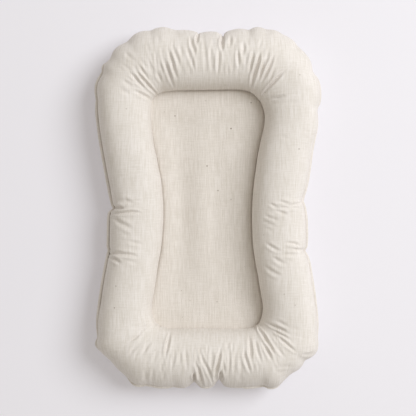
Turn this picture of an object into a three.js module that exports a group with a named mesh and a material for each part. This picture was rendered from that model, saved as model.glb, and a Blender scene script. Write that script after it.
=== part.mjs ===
// Infant lounger: a stuffed bolster, hourglass in plan, that runs round a sling of two cotton layers and lies on a
// floor. The bolster's cover is a top panel and an under panel, sewn to each other over a welt at the outer edge and
// to the sling at the inner edge. Each of its four sides was stuffed through an opening in the outer seam, and
// the ends of each closed opening are drawn in. Millimetres, +Z up, +Y towards the head end, origin on the
// floor under the middle of the lounger.

import * as THREE from "three";

// The plan, over the welt
const OVERALL_LENGTH = 733;
const HEAD_WIDTH = 459;
const WAIST_WIDTH = 399;
const FOOT_WIDTH = 453;
const WAIST_SHIFT = 6; // from the middle towards the foot
const HEAD_BOLSTER = 128; // width of the bolster across the head end
const FOOT_BOLSTER = 120;
const SIDE_BOLSTER = 109;
const HEAD_CORNER = 88; // radius of the bolster's middle line
const FOOT_CORNER = 75;
const HEAD_SWEEP_SHARE = 0.26; // how much of the way to the waist the side leaves the corner straight
const FOOT_SWEEP_SHARE = 0.12;
const WAIST_SWEEP_SHARE = 0.45;

// The bolster's section
const SIDE_CROWN = 104; // height above the floor
const END_CROWN = 109;
const OUTER_SEAM_HEIGHT = 48; // the bolster is widest here
const INNER_SEAM_HEIGHT = 36;
const FLOOR_STRIP_SHARE = 0.5; // share of the bolster's width that lies flat on the floor
const ROUNDNESS = 0.87; // exponent of the section's curve: 1 is an ellipse, less is fuller

// Cotton, welt, thread and the clearances between layers
const FABRIC = 1.2;
const LAYER_GAP = 0.3;
const FILLING_EASE = 0.5; // between the cover and the fibre
const SEAM_ALLOWANCE = 8; // cloth that lies inside the bolster, past a seam
const WELT_THICKNESS = 2;
const WELT_REACH = 2.6; // how far the welt stands out of the seam
const SEAM_THREAD = 0.9;
const CLOSING_THREAD = 0.8;

// Closed stuffing openings in the outer seam
const HEAD_OPENING = 51;
const HEAD_OPENING_SHIFT = 8; // from the middle towards +X
const HEAD_BAY_DEPTH = 9; // how far the edge between the tucks lies inside the line of the head end
const RIGHT_OPENING = 96;
const RIGHT_OPENING_SHIFT = -37; // from the middle towards +Y
const FOOT_OPENING = 50;
const FOOT_OPENING_SHIFT = -3;
const FOOT_BAY_DEPTH = 3;
const BAY_RUN = 62; // length over which the edge comes back out, to either side of an opening
const LEFT_OPENING = 92;
const LEFT_OPENING_SHIFT = -49;
const CLOSING_STITCH = 9; // length of one stitch and its return
const CLOSING_SWAY = 0.5; // how far a closing stitch swings to either side
const STEPS_PER_STITCH = 6;
const CLOSING_SIDES = 5;
const TUCK_DEPTH = 6; // how far the edge is drawn in at each end of an opening
const TUCK_SPREAD = 8; // along the edge, to either side of a tuck

// Gathers of the cover round the ends
const GATHER_DEPTH = 4;
const CORNER_FULLNESS = 2.5; // how far the cover stands out at the middle of a corner
const NEST_CORNER_FILL = 5; // how far it stands into the nest there
const GATHER_PITCH = 38;
const FOLD_SHARE = 0.8; // how far a gather sinks the cover, as a share of how far it draws it in

// The sling
const SLING_FLAT_RIM = 4; // level strip inside the inner seam
const SLING_SAG = 6;
const SLING_RING_SHARES = [0.3, 0.7]; // where the sling's own rings lie, from its rim to its spine

const PLAIN_STEP = 48; // longest step along the bolster where nothing is gathered
const PATH_SAMPLES = 1800;
const CROWN_SPANS = 6;

const COTTON = 0xe4dccf;
const FIBRE = 0xf4f3ef;
const THREAD = 0xe9e1d2;

const headY = (OVERALL_LENGTH - HEAD_BOLSTER) / 2;
const footY = -(OVERALL_LENGTH - FOOT_BOLSTER) / 2;
const headX = (HEAD_WIDTH - SIDE_BOLSTER) / 2;
const footX = (FOOT_WIDTH - SIDE_BOLSTER) / 2;
const waistX = (WAIST_WIDTH - SIDE_BOLSTER) / 2;
const slingStack = 2 * FABRIC + LAYER_GAP;

// The bolster's middle line seen from above, clockwise from the middle of the head end.
function middleLine() {
  const headRun = headY - HEAD_CORNER + WAIST_SHIFT;
  const footRun = -WAIST_SHIFT - footY - FOOT_CORNER;
  const headEnd = headY - HEAD_CORNER;
  const footEnd = footY + FOOT_CORNER;
  const path = new THREE.Path();
  path.moveTo(0, headY);
  path.lineTo(headX - HEAD_CORNER, headY);
  path.absarc(headX - HEAD_CORNER, headEnd, HEAD_CORNER, Math.PI / 2, 0, true);
  path.bezierCurveTo(
    headX, headEnd - HEAD_SWEEP_SHARE * headRun,
    waistX, -WAIST_SHIFT + WAIST_SWEEP_SHARE * headRun,
    waistX, -WAIST_SHIFT);
  path.bezierCurveTo(
    waistX, -WAIST_SHIFT - WAIST_SWEEP_SHARE * footRun,
    footX, footEnd + FOOT_SWEEP_SHARE * footRun,
    footX, footEnd);
  path.absarc(footX - FOOT_CORNER, footEnd, FOOT_CORNER, 0, -Math.PI / 2, true);
  path.lineTo(FOOT_CORNER - footX, footY);
  path.absarc(FOOT_CORNER - footX, footEnd, FOOT_CORNER, -Math.PI / 2, -Math.PI, true);
  path.bezierCurveTo(
    -footX, footEnd + FOOT_SWEEP_SHARE * footRun,
    -waistX, -WAIST_SHIFT - WAIST_SWEEP_SHARE * footRun,
    -waistX, -WAIST_SHIFT);
  path.bezierCurveTo(
    -waistX, -WAIST_SHIFT + WAIST_SWEEP_SHARE * headRun,
    -headX, headEnd - HEAD_SWEEP_SHARE * headRun,
    -headX, headEnd);
  path.absarc(HEAD_CORNER - headX, headEnd, HEAD_CORNER, Math.PI, Math.PI / 2, true);
  path.lineTo(0, headY);
  path.arcLengthDivisions = PATH_SAMPLES;
  return path;
}

const line = middleLine();
const lineLength = line.getLength();
const lineSamples = line.getSpacedPoints(PATH_SAMPLES);

// Distance along the middle line to its point nearest to (x, y).
function distanceTo(x, y) {
  let best = 0;
  lineSamples.forEach((p, i) => {
    if (Math.hypot(p.x - x, p.y - y) < Math.hypot(lineSamples[best].x - x, lineSamples[best].y - y)) best = i;
  });
  return (best / PATH_SAMPLES) * lineLength;
}

// A station is a place along the bolster, with the frame and the sizes of its section there.
function stationAt(distance, drawnIn) {
  const share = (((distance / lineLength) % 1) + 1) % 1;
  const at = line.getPointAt(share);
  const along = line.getTangentAt(share);
  const out = new THREE.Vector2(-along.y, along.x);
  const headward = Math.max(0, out.y) ** 2;
  const footward = Math.max(0, -out.y) ** 2;
  const width = SIDE_BOLSTER + (HEAD_BOLSTER - SIDE_BOLSTER) * headward + (FOOT_BOLSTER - SIDE_BOLSTER) * footward;
  const crown = SIDE_CROWN + (END_CROWN - SIDE_CROWN) * (headward + footward);
  const turned = (Math.abs(out.x) + Math.abs(out.y) - 1) / (Math.SQRT2 - 1); // 0 along a side, 1 halfway round a corner
  return {
    distance, at, along, out, crown,
    halfWidth: width / 2,
    drawnIn: drawnIn + bayDepth(distance) - CORNER_FULLNESS * turned,
    nestFill: NEST_CORNER_FILL * turned,
  };
}

function opening(name, middle, length, depth) {
  return { name, middle, length, depth, from: middle - length / 2, to: middle + length / 2 };
}

const openings = [
  opening("head", distanceTo(HEAD_OPENING_SHIFT, headY), HEAD_OPENING, HEAD_BAY_DEPTH),
  opening("right", distanceTo(waistX, RIGHT_OPENING_SHIFT), RIGHT_OPENING, 0),
  opening("foot", distanceTo(FOOT_OPENING_SHIFT, footY), FOOT_OPENING, FOOT_BAY_DEPTH),
  opening("left", distanceTo(-waistX, LEFT_OPENING_SHIFT), LEFT_OPENING, 0),
];

// How far the edge lies inside its line because an opening was closed near by.
function bayDepth(distance) {
  return openings.reduce((sum, { middle, length, depth }) => {
    const around = Math.abs(distance - middle);
    const away = Math.max(0, Math.min(around, lineLength - around) - length / 2);
    return sum + depth * (1 - THREE.MathUtils.smoothstep(away, 0, BAY_RUN));
  }, 0);
}

// The stations of the whole ring, in order: each opening, then the edge up to the next one. Round a corner that edge
// is gathered, so its stations are drawn in one by one.
function ringStations() {
  const places = [];
  const plain = (from, to) => {
    const steps = Math.ceil((to - from) / PLAIN_STEP);
    for (let i = 0; i < steps; i++) places.push(stationAt(from + ((to - from) * i) / steps, 0));
  };
  const gathered = (from, to) => {
    const lobes = Math.round((to - from) / GATHER_PITCH);
    for (let i = 0; i < 2 * lobes; i++) {
      const drawnIn = i > 0 && i % 2 === 0 ? GATHER_DEPTH : 0;
      places.push(stationAt(from + ((to - from) * i) / (2 * lobes), drawnIn));
    }
  };
  const tuck = (distance) => places.push(stationAt(distance, TUCK_DEPTH));
  const cornerEnds = [
    distanceTo(headX, headY - HEAD_CORNER),
    distanceTo(footX, footY + FOOT_CORNER),
    distanceTo(-footX, footY + FOOT_CORNER),
    distanceTo(-headX, headY - HEAD_CORNER),
  ];
  openings.forEach(({ from, to }, i) => {
    const corner = cornerEnds[i];
    const isEnd = i % 2 === 0;
    const next = i + 1 < openings.length ? openings[i + 1].from : openings[0].from + lineLength;
    tuck(from);
    plain(from + TUCK_SPREAD, to - TUCK_SPREAD);
    places.push(stationAt(to - TUCK_SPREAD, 0));
    tuck(to);
    (isEnd ? gathered : plain)(to + TUCK_SPREAD, corner);
    (isEnd ? plain : gathered)(corner, next - TUCK_SPREAD);
    places.push(stationAt(next - TUCK_SPREAD, 0));
  });
  return places;
}

const stations = ringStations();
const stripAngle = Math.acos(FLOOR_STRIP_SHARE ** (1 / ROUNDNESS));
const underRise = OUTER_SEAM_HEIGHT / Math.sin(stripAngle) ** ROUNDNESS;

// A point of the section's outline, as [outwards from the middle line, height]. Angle 0 is the outer edge, a quarter
// turn the crown, a half turn the inner edge. Below the outer seam the outline ends on the floor.
function outlinePoint(station, angle) {
  const across = Math.cos(angle);
  const up = Math.sin(angle);
  const rise = up > 0 ? station.crown - OUTER_SEAM_HEIGHT : underRise;
  const drawnIn = station.drawnIn * Math.max(0, across) ** 2;
  const reach = across > 0 ? station.halfWidth - WELT_REACH : station.halfWidth;
  const nestFill = station.nestFill * Math.max(0, -across) ** 2;
  const u = reach * Math.sign(across) * Math.abs(across) ** ROUNDNESS - drawnIn - nestFill;
  const z = OUTER_SEAM_HEIGHT + rise * Math.sign(up) * Math.abs(up) ** ROUNDNESS;
  return [u, Math.max(0, z - FOLD_SHARE * drawnIn * Math.max(0, up))];
}

// The angle from the horizontal at which the outline is this far above or below the outer seam.
function angleAt(offset, rise) {
  return Math.asin((offset / rise) ** (1 / ROUNDNESS));
}

const weltHalf = WELT_THICKNESS / 2 + LAYER_GAP;
const slingHalf = slingStack / 2 + LAYER_GAP;

// The top panel's outline, from the inner seam over the crown to the outer seam.
function topOutline(station) {
  const rise = station.crown - OUTER_SEAM_HEIGHT;
  const innerDrop = OUTER_SEAM_HEIGHT - INNER_SEAM_HEIGHT - slingHalf;
  const angles = [Math.PI + angleAt(innerDrop, underRise)];
  for (let i = CROWN_SPANS; i > 0; i--) angles.push((Math.PI * i) / CROWN_SPANS);
  angles.push(angleAt(weltHalf, rise));
  return angles.map((angle) => outlinePoint(station, angle));
}

// The under panel's outline, from the outer seam along the floor to the inner seam.
function underOutline(station) {
  const outer = -angleAt(weltHalf, underRise);
  const inner = -Math.PI + angleAt(OUTER_SEAM_HEIGHT - INNER_SEAM_HEIGHT + slingHalf, underRise);
  const angles = [
    outer, (outer - stripAngle) / 2, -stripAngle,
    stripAngle - Math.PI, (stripAngle - Math.PI + inner) / 2, inner,
  ];
  return angles.map((angle) => outlinePoint(station, angle));
}

// An open outline moved to its right by a distance, with mitred corners and its two ends cut level.
function inset(outline, distance) {
  const normals = outline.slice(1).map(([u, z], i) => {
    const normal = new THREE.Vector2(z - outline[i][1], outline[i][0] - u);
    return normal.normalize();
  });
  return outline.map(([u, z], i) => {
    if (i === 0) return [u + distance / normals[0].x, z];
    if (i === normals.length) return [u + distance / normals[i - 1].x, z];
    const [before, after] = [normals[i - 1], normals[i]];
    const reach = distance / (1 + before.dot(after));
    return [u + reach * (before.x + after.x), z + reach * (before.y + after.y)];
  });
}

// A section's [outwards, height] pairs as points in space, moved along the bolster if asked.
function inSpace(station, section, shift = 0) {
  return section.map(([u, z]) => new THREE.Vector3(
    station.at.x + station.out.x * u + station.along.x * shift,
    station.at.y + station.out.y * u + station.along.y * shift,
    z));
}

// A solid from its corner points and triangles.
function solid(points, triangles) {
  const geometry = new THREE.BufferGeometry().setFromPoints(points);
  geometry.setIndex(triangles);
  geometry.computeVertexNormals();
  return geometry;
}

// A solid through closed loops of equally many points. It joins its last loop to its first, or is capped at its ends.
// A folded loop runs out and back beside itself, and the two runs are cut into triangles alike.
function loft(loops, isRing, isFolded = false) {
  const n = loops[0].length;
  const points = loops.flat();
  const triangles = [];
  const bands = isRing ? loops.length : loops.length - 1;
  for (let i = 0; i < bands; i++) {
    const here = i * n;
    const there = ((i + 1) % loops.length) * n;
    for (let j = 0; j < n; j++) {
      const k = (j + 1) % n;
      const isBack = isFolded && j >= n / 2;
      triangles.push(here + j, there + j, isBack ? here + k : there + k);
      triangles.push(isBack ? there + j : here + j, there + k, here + k);
    }
  }
  if (!isRing) {
    capLoop(points, triangles, 0, n, false);
    capLoop(points, triangles, (loops.length - 1) * n, n, true);
  }
  return solid(points, triangles);
}

// Closes a loop of n points with a fan round its middle.
function capLoop(points, triangles, start, n, isLast) {
  const hub = points.length;
  const middle = new THREE.Vector3();
  for (let j = 0; j < n; j++) middle.addScaledVector(points[start + j], 1 / n);
  points.push(middle);
  for (let j = 0; j < n; j++) {
    const k = (j + 1) % n;
    triangles.push(hub, start + (isLast ? k : j), start + (isLast ? j : k));
  }
}

// A panel of the cover: cloth that follows an outline right round the ring.
function panel(outlineOf) {
  const loops = stations.map((station) => {
    const outside = outlineOf(station);
    return inSpace(station, [...outside, ...inset(outside, FABRIC).reverse()]);
  });
  return loft(loops, true, true);
}

// A ring of the same section all the way round, from its [outwards, height] pairs at a station.
function ring(sectionOf) {
  return loft(stations.map((station) => inSpace(station, sectionOf(station))), true);
}

const outerSeam = (station) => station.halfWidth - WELT_REACH - station.drawnIn;

function innerSeam(station) {
  const angle = Math.PI + angleAt(OUTER_SEAM_HEIGHT - INNER_SEAM_HEIGHT, underRise);
  return outlinePoint(station, angle)[0];
}

// The welt lies between the two panels at the outer seam, with a rounded fold outside and its raw edges inside.
function welt() {
  return ring((station) => {
    const seam = outerSeam(station);
    const fold = seam + WELT_REACH;
    const half = WELT_THICKNESS / 2;
    return [
      [seam - SEAM_ALLOWANCE, OUTER_SEAM_HEIGHT - half],
      [seam - SEAM_ALLOWANCE, OUTER_SEAM_HEIGHT + half],
      [fold - half, OUTER_SEAM_HEIGHT + half],
      [fold, OUTER_SEAM_HEIGHT + half / 2],
      [fold, OUTER_SEAM_HEIGHT - half / 2],
      [fold - half, OUTER_SEAM_HEIGHT - half],
    ];
  });
}

// A square section of thread centred on a point.
function threadSection(u, z, size) {
  const half = size / 2;
  return [[u - half, z], [u, z + half], [u + half, z], [u, z - half]];
}

const stitchInside = FABRIC + LAYER_GAP + SEAM_THREAD / 2;

// The line of stitching inside the bolster, in the corner between the top panel and the welt.
function outerSeamThread() {
  return ring((station) => {
    const [edge, height] = topOutline(station).at(-1);
    return threadSection(edge - stitchInside, height + SEAM_THREAD / 2, SEAM_THREAD);
  });
}

// The line of stitching inside the bolster, in the corner between the top panel and the sling.
function innerSeamThread() {
  return ring((station) => {
    const [edge, height] = topOutline(station)[0];
    return threadSection(edge + stitchInside, height + SEAM_THREAD / 2, SEAM_THREAD);
  });
}

// The section of the fibre: the cover's own outline drawn in, with a slot where the cloth of each seam lies.
function fillingSection(station) {
  const clear = FABRIC + FILLING_EASE;
  const slot = SEAM_ALLOWANCE + FILLING_EASE;
  const inner = innerSeam(station) + slot;
  const outer = outerSeam(station) - slot;
  return [
    [inner, INNER_SEAM_HEIGHT - slingHalf],
    [inner, INNER_SEAM_HEIGHT + slingHalf],
    ...inset(topOutline(station), clear).slice(1, -1),
    [outer, OUTER_SEAM_HEIGHT + weltHalf],
    [outer, OUTER_SEAM_HEIGHT - weltHalf],
    ...inset(underOutline(station), clear).slice(1, -1),
  ];
}

// One of the four masses of fibre. It fills the bolster from one station, in a corner, to another.
function filling(first, last) {
  const run = [stations[first]];
  for (let i = first; i !== last; i = (i + 1) % stations.length) run.push(stations[(i + 1) % stations.length]);
  const loops = run.map((station, i) => {
    const isFirst = i === 0;
    const isLast = i === run.length - 1;
    return inSpace(station, fillingSection(station), ((isFirst - isLast) * LAYER_GAP) / 2);
  });
  return loft(loops, false);
}

// The index of the station nearest to the middle of a corner, on the side of +X or -X.
function cornerStation(side, x, end, radius) {
  const reach = radius * Math.SQRT1_2;
  const middle = distanceTo(side * (x - radius + reach), end - Math.sign(end) * (radius - reach));
  const away = stations.map((station) => Math.abs(station.distance - middle));
  return away.indexOf(Math.min(...away));
}

// One layer of the sling, level under the seam and sagging towards its middle. Its rim lies inside the bolster.
function slingLayer(underside) {
  const rim = stations.map((station) => new THREE.Vector2().copy(station.at)
    .addScaledVector(station.out, innerSeam(station) + SEAM_ALLOWANCE));
  const inside = stations.map((station) => new THREE.Vector2().copy(station.at)
    .addScaledVector(station.out, innerSeam(station) - SLING_FLAT_RIM));
  const spineHead = headY - HEAD_BOLSTER / 2 - waistX;
  const spineFoot = footY + FOOT_BOLSTER / 2 + waistX;
  const spineOf = (p) => new THREE.Vector2(0, THREE.MathUtils.clamp(p.y, spineFoot, spineHead));
  const towardsSpine = (share) => inside.map((p) => p.clone().lerp(spineOf(p), share));
  const rings = [rim, inside, ...SLING_RING_SHARES.map(towardsSpine)];
  const deepest = SLING_RING_SHARES.at(-1);
  const sags = [0, 0, ...SLING_RING_SHARES.map((share) => SLING_SAG * Math.sin((Math.PI / 2) * (share / deepest)))];
  const n = stations.length;
  const points = [];
  for (const base of [underside + FABRIC, underside]) {
    rings.forEach((loop, i) => loop.forEach((p) => points.push(new THREE.Vector3(p.x, p.y, base - sags[i]))));
  }
  const layer = rings.length * n;
  const triangles = [];
  const quad = (a, b, c, d) => triangles.push(a, b, c, a, c, d);
  for (let j = 0; j < n; j++) {
    const k = (j + 1) % n;
    quad(j, k, layer + k, layer + j);
    for (let i = 0; i < rings.length - 1; i++) {
      const outer = i * n;
      const inner = (i + 1) * n;
      quad(outer + j, inner + j, inner + k, outer + k);
      quad(layer + outer + j, layer + outer + k, layer + inner + k, layer + inner + j);
    }
  }
  const last = (rings.length - 1) * n;
  for (const [a, b, c] of THREE.ShapeUtils.triangulateShape(rings.at(-1), [])) {
    triangles.push(last + a, last + b, last + c, layer + last + a, layer + last + c, layer + last + b);
  }
  return solid(points, triangles);
}

// The slip stitches that close an opening: one thread that sways along the top of the welt, against the cover.
function closingThread(place) {
  const height = OUTER_SEAM_HEIGHT + weltHalf + CLOSING_THREAD / 2;
  const from = place.from + TUCK_SPREAD;
  const to = place.to - TUCK_SPREAD;
  const stitches = Math.round((to - from) / CLOSING_STITCH);
  const steps = stitches * STEPS_PER_STITCH;
  const clear = LAYER_GAP + CLOSING_THREAD / 2 + CLOSING_SWAY;
  const points = [];
  for (let i = 0; i <= steps; i++) {
    const distance = from + ((to - from) * i) / steps;
    const sway = CLOSING_SWAY * Math.sin((2 * Math.PI * stitches * i) / steps);
    points.push(edgePoint(distance, clear + sway, height));
  }
  const corners = Array.from({ length: CLOSING_SIDES }, (_, i) => {
    const angle = (2 * Math.PI * i) / CLOSING_SIDES;
    return new THREE.Vector2(Math.cos(angle), Math.sin(angle)).multiplyScalar(CLOSING_THREAD / 2);
  });
  const extrudePath = new THREE.CatmullRomCurve3(points);
  return new THREE.ExtrudeGeometry(new THREE.Shape(corners), { steps, extrudePath });
}

// A point beside the outer seam, on the straight edge between the two stations that it lies between.
function edgePoint(distance, outwards, z) {
  const after = stations.find((station) => station.distance >= distance);
  const before = stations[stations.indexOf(after) - 1];
  const share = (distance - before.distance) / (after.distance - before.distance);
  const [a, b] = [before, after].map((station) => new THREE.Vector2().copy(station.at)
    .addScaledVector(station.out, outerSeam(station) + outwards));
  const p = a.lerp(b, share);
  return new THREE.Vector3(p.x, p.y, z);
}

const lounger = new THREE.Group();

function add(name, geometry, colour, roughness) {
  const material = new THREE.MeshStandardMaterial({ color: colour, roughness, metalness: 0 });
  const mesh = new THREE.Mesh(geometry, material);
  mesh.name = name;
  lounger.add(mesh);
}

const clothRoughness = 0.92;
const fibreRoughness = 1;
const threadRoughness = 0.8;

add("bolster_top_panel", panel(topOutline), COTTON, clothRoughness);
add("bolster_under_panel", panel(underOutline), COTTON, clothRoughness);
add("edge_welt", welt(), COTTON, clothRoughness);
add("sling_top_layer", slingLayer(INNER_SEAM_HEIGHT + LAYER_GAP / 2), COTTON, clothRoughness);
add("sling_under_layer", slingLayer(INNER_SEAM_HEIGHT - LAYER_GAP / 2 - FABRIC), COTTON, clothRoughness);

add("outer_seam_thread", outerSeamThread(), THREAD, threadRoughness);
add("inner_seam_thread", innerSeamThread(), THREAD, threadRoughness);

const corners = [
  cornerStation(1, headX, headY, HEAD_CORNER),
  cornerStation(1, footX, footY, FOOT_CORNER),
  cornerStation(-1, footX, footY, FOOT_CORNER),
  cornerStation(-1, headX, headY, HEAD_CORNER),
];
openings.forEach((place, i) => {
  const first = corners[(i + corners.length - 1) % corners.length];
  add(`${place.name}_filling`, filling(first, corners[i]), FIBRE, fibreRoughness);
  add(`${place.name}_closing_thread`, closingThread(place), THREAD, threadRoughness);
});

export default lounger;
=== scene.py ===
# Infant lounger in unbleached cotton: a stuffed bolster ring round a two-layer sling, lying on a pale floor.
# Metres, +Z up, +Y towards the head end.

import math

import bmesh
import bpy
import numpy as np
from mathutils import Matrix, Vector


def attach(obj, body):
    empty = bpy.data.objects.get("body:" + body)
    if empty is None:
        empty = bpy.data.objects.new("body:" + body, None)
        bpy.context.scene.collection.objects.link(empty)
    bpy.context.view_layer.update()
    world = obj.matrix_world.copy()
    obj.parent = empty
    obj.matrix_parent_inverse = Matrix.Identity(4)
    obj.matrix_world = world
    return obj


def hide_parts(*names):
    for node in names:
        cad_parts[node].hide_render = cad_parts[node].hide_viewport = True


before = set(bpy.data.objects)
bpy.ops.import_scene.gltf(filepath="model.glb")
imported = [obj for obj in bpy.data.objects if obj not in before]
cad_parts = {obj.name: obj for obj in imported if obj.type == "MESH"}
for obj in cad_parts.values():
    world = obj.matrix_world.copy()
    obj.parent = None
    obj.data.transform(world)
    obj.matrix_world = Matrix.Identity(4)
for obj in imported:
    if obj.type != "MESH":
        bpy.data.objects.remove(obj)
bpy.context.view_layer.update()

MM = 0.001

# The photograph: its side, the pixel that shows the lounger's middle, and its scale at the outer seam
PHOTO_SIDE_PX = 416
MIDDLE_PX = (207.5, 207.3)
METRES_PER_PIXEL = 2.033 * MM

# The camera: the pixel it aims at, its lens and sensor in millimetres, and its height above the outer seam
CAMERA_AIM_PX = (208, 208)
CAMERA_LENS = 85
CAMERA_SENSOR = 36
CAMERA_RISE = PHOTO_SIDE_PX * METRES_PER_PIXEL * CAMERA_LENS / CAMERA_SENSOR

# The bolster's plan, over the welt
OVERALL_LENGTH = 733 * MM
HEAD_WIDTH = 459 * MM
WAIST_WIDTH = 399 * MM
FOOT_WIDTH = 453 * MM
WAIST_SHIFT = 6 * MM
HEAD_BOLSTER = 128 * MM
FOOT_BOLSTER = 120 * MM
SIDE_BOLSTER = 109 * MM
HEAD_CORNER = 88 * MM
FOOT_CORNER = 75 * MM
HEAD_SWEEP_SHARE = 0.26
FOOT_SWEEP_SHARE = 0.12
WAIST_SWEEP_SHARE = 0.45
ARC_POINTS = 300
SWEEP_POINTS = 600
LINE_STEP = 0.5 * MM
SAME_PLACE = 0.0001 * MM
DIRECTION_STEPS = 3

# The bolster's section
SIDE_CROWN = 104 * MM
END_CROWN = 109 * MM
OUTER_SEAM_HEIGHT = 48 * MM
INNER_SEAM_HEIGHT = 36 * MM
FLOOR_STRIP_SHARE = 0.5
ROUNDNESS = 0.87
END_ROUNDNESS = 1.14
EDGE_EASE = 3.5 * MM
EDGE_FALL_SHARE = 0.7

# The outer seam, in a ditch of the cover, with the welt that stands out of it
DITCH_DEPTH = 2.6 * MM
DITCH_RUN = 1.3 * MM
DITCH_POWER = 1.3
WELT_REACH = 3.9 * MM
WELT_LIP = 5.6 * MM
WELT_THICKNESS = 3.2 * MM
WELT_WIDTH = 5.5 * MM
WELT_OVERHANG = 1.2 * MM
WELT_DROOP = 0.4 * MM
WELT_ROOT = 6 * MM
WELT_HIDDEN = 1.6 * MM
WELT_SWAY = 0.5 * MM
WELT_WAVES = (17, 29, 53)
WELT_FULL_SHARE = 0.9
WELT_ROOT_SHARE = 0.25
WELT_FLANK_SHARE = 0.3
WELT_BULGE_SHARE = 0.35
WELT_COLUMNS = 900
WELT_TURNS = 9

# The inner seam, in a crevice between the cover and the sling
CREVICE_DEPTH = 4 * MM
CREVICE_RUN = 5 * MM

# Cloth, thread and the room that the fibre leaves under the cover
COTTON_THICKNESS = 1.0 * MM
FIBRE_ROOM = 8.5 * MM
THREAD = 0.9 * MM
THREAD_SIDES = 6
STITCH = 3.2 * MM
STITCH_POINTS = 4
STITCH_SETBACK = 2.4 * MM
OUTER_STITCH_RISE = 0.25 * MM
INNER_STITCH_RISE = 0.2 * MM
INNER_STITCH_LIFT = 2.6 * MM
CLOSING_THREAD = 0.8 * MM
CLOSING_STITCH = 9 * MM
CLOSING_POINTS = 10
CLOSING_END = 7 * MM
CLOSING_REACH = 1.2 * MM
CLOSING_SWING = 0.5 * MM
CLOSING_LIFT = 0.5 * MM
CLOSING_RISE = 0.3 * MM

# The sling
SLING_SAG = 6 * MM
SLING_RIM = 4 * MM
SLING_SIDE_RUN = 42 * MM
SLING_END_RUN = 90 * MM
SLING_RISE = 3.5 * MM
SLING_ROLL = 2.8 * MM
SLING_ALLOWANCE = 7 * MM
SLING_SPINE = 130 * MM
SLING_EASE = 36 * MM
SLING_LAYER_GAP = 0.5 * MM
SLING_RIM_ROWS = np.array([0, 1.2, 2.4, 3.8, 5.4, 7.2, 9.4, 12]) * MM
SLING_ROW_POWER = 1.15
SLING_SIDE_SHARE = 0.7

# The sling's broad waves across its width, and its finer ripple
SLING_WAVE = 81 * MM
SLING_WAVE_RISE = 3 * MM
SLING_WAVE_PX = (201, 205)
SLING_WAVE_LENGTH = 135 * MM
SLING_WAVE_EASE = 36 * MM
SLING_WAVE_LEAN = 0.03
SLING_WAVE_LOSS_SHARE = 0.5
SLING_WAVE_LOSS_RUN = 20 * MM
SLING_RIPPLE = 0.6 * MM
SLING_RIPPLE_EASE = 40 * MM
RIPPLE_ACROSS = 13 * MM
RIPPLE_ALONG = 55 * MM
RIPPLE_LEAN = 90 * MM
RIPPLE_BEND = 1.6
RIPPLE_STARTS = (2, 1)
RIPPLE_BEND_LENGTH = 95 * MM

# The grids' rows and columns, closest beside a seam, at the ends and at the tucks
COLUMNS = 480
TOP_ROWS = 34
UNDER_ROWS = 18
SEAM_ROWS = np.array([0, 0.8, 1.7, 2.8, 4.2, 6.5]) * MM
SLING_COLUMNS = 400
SLING_ROWS = 24
END_DENSITY = 2
END_DENSITY_POWER = 8
TUCK_DENSITY = 2.2
TUCK_RUN = 24 * MM
MERGE_DISTANCE = 0.002 * MM

# The simulated gathering of the top panel
WRINKLE_COLUMNS = 360
WRINKLE_ROWS = 34
WRINKLE_CAP = 4 * MM
PATCH_COLUMNS = 9
PATCH_ROWS = 7
CLOTH_GROWTH = 0.05
SIDE_GROWTH_SHARE = 0.35
END_GROWTH_SPREAD = 1.25
END_GROWTH_POWER = 6
GATHERING_FRAMES = 20

# The fibre: lumps in each mass's surface, and its rounded ends
FIBRE_COLUMNS = 90
FIBRE_ROWS = 37
FIBRE_GAP = 1 * MM
FIBRE_END = 30 * MM
FIBRE_CORNER = (140 * MM, 280 * MM)
LUMPS = 26
LUMP_SIZES = (14 * MM, 30 * MM)
LUMP_DEPTHS = (1 * MM, 3.4 * MM)


def at_pixel(x, y):
    """The point of the floor plan that the photograph shows at a pixel."""
    return np.array([(x - MIDDLE_PX[0]) * METRES_PER_PIXEL, (MIDDLE_PX[1] - y) * METRES_PER_PIXEL])


def as_seen(places):
    """The points of the floor plan that the photograph shows in line with these higher places."""
    aim = at_pixel(*CAMERA_AIM_PX)
    away = CAMERA_RISE + OUTER_SEAM_HEIGHT - places[..., 2:]
    return aim + (places[..., :2] - aim) * CAMERA_RISE / away


# The bolster's middle line

HEAD_Y = (OVERALL_LENGTH - HEAD_BOLSTER) / 2
FOOT_Y = -(OVERALL_LENGTH - FOOT_BOLSTER) / 2
HEAD_X = (HEAD_WIDTH - SIDE_BOLSTER) / 2
FOOT_X = (FOOT_WIDTH - SIDE_BOLSTER) / 2
WAIST_X = (WAIST_WIDTH - SIDE_BOLSTER) / 2


def arc(centre, radius, start, end):
    turn = np.radians(np.linspace(start, end, ARC_POINTS))
    return np.stack([centre[0] + radius * np.cos(turn), centre[1] + radius * np.sin(turn)], 1)


def sweep(start, leave, arrive, end):
    t = np.linspace(0, 1, SWEEP_POINTS)[:, None]
    a, b, c, d = (np.array(p) for p in (start, leave, arrive, end))
    return a * (1 - t) ** 3 + b * 3 * t * (1 - t) ** 2 + c * 3 * t**2 * (1 - t) + d * t**3


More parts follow.
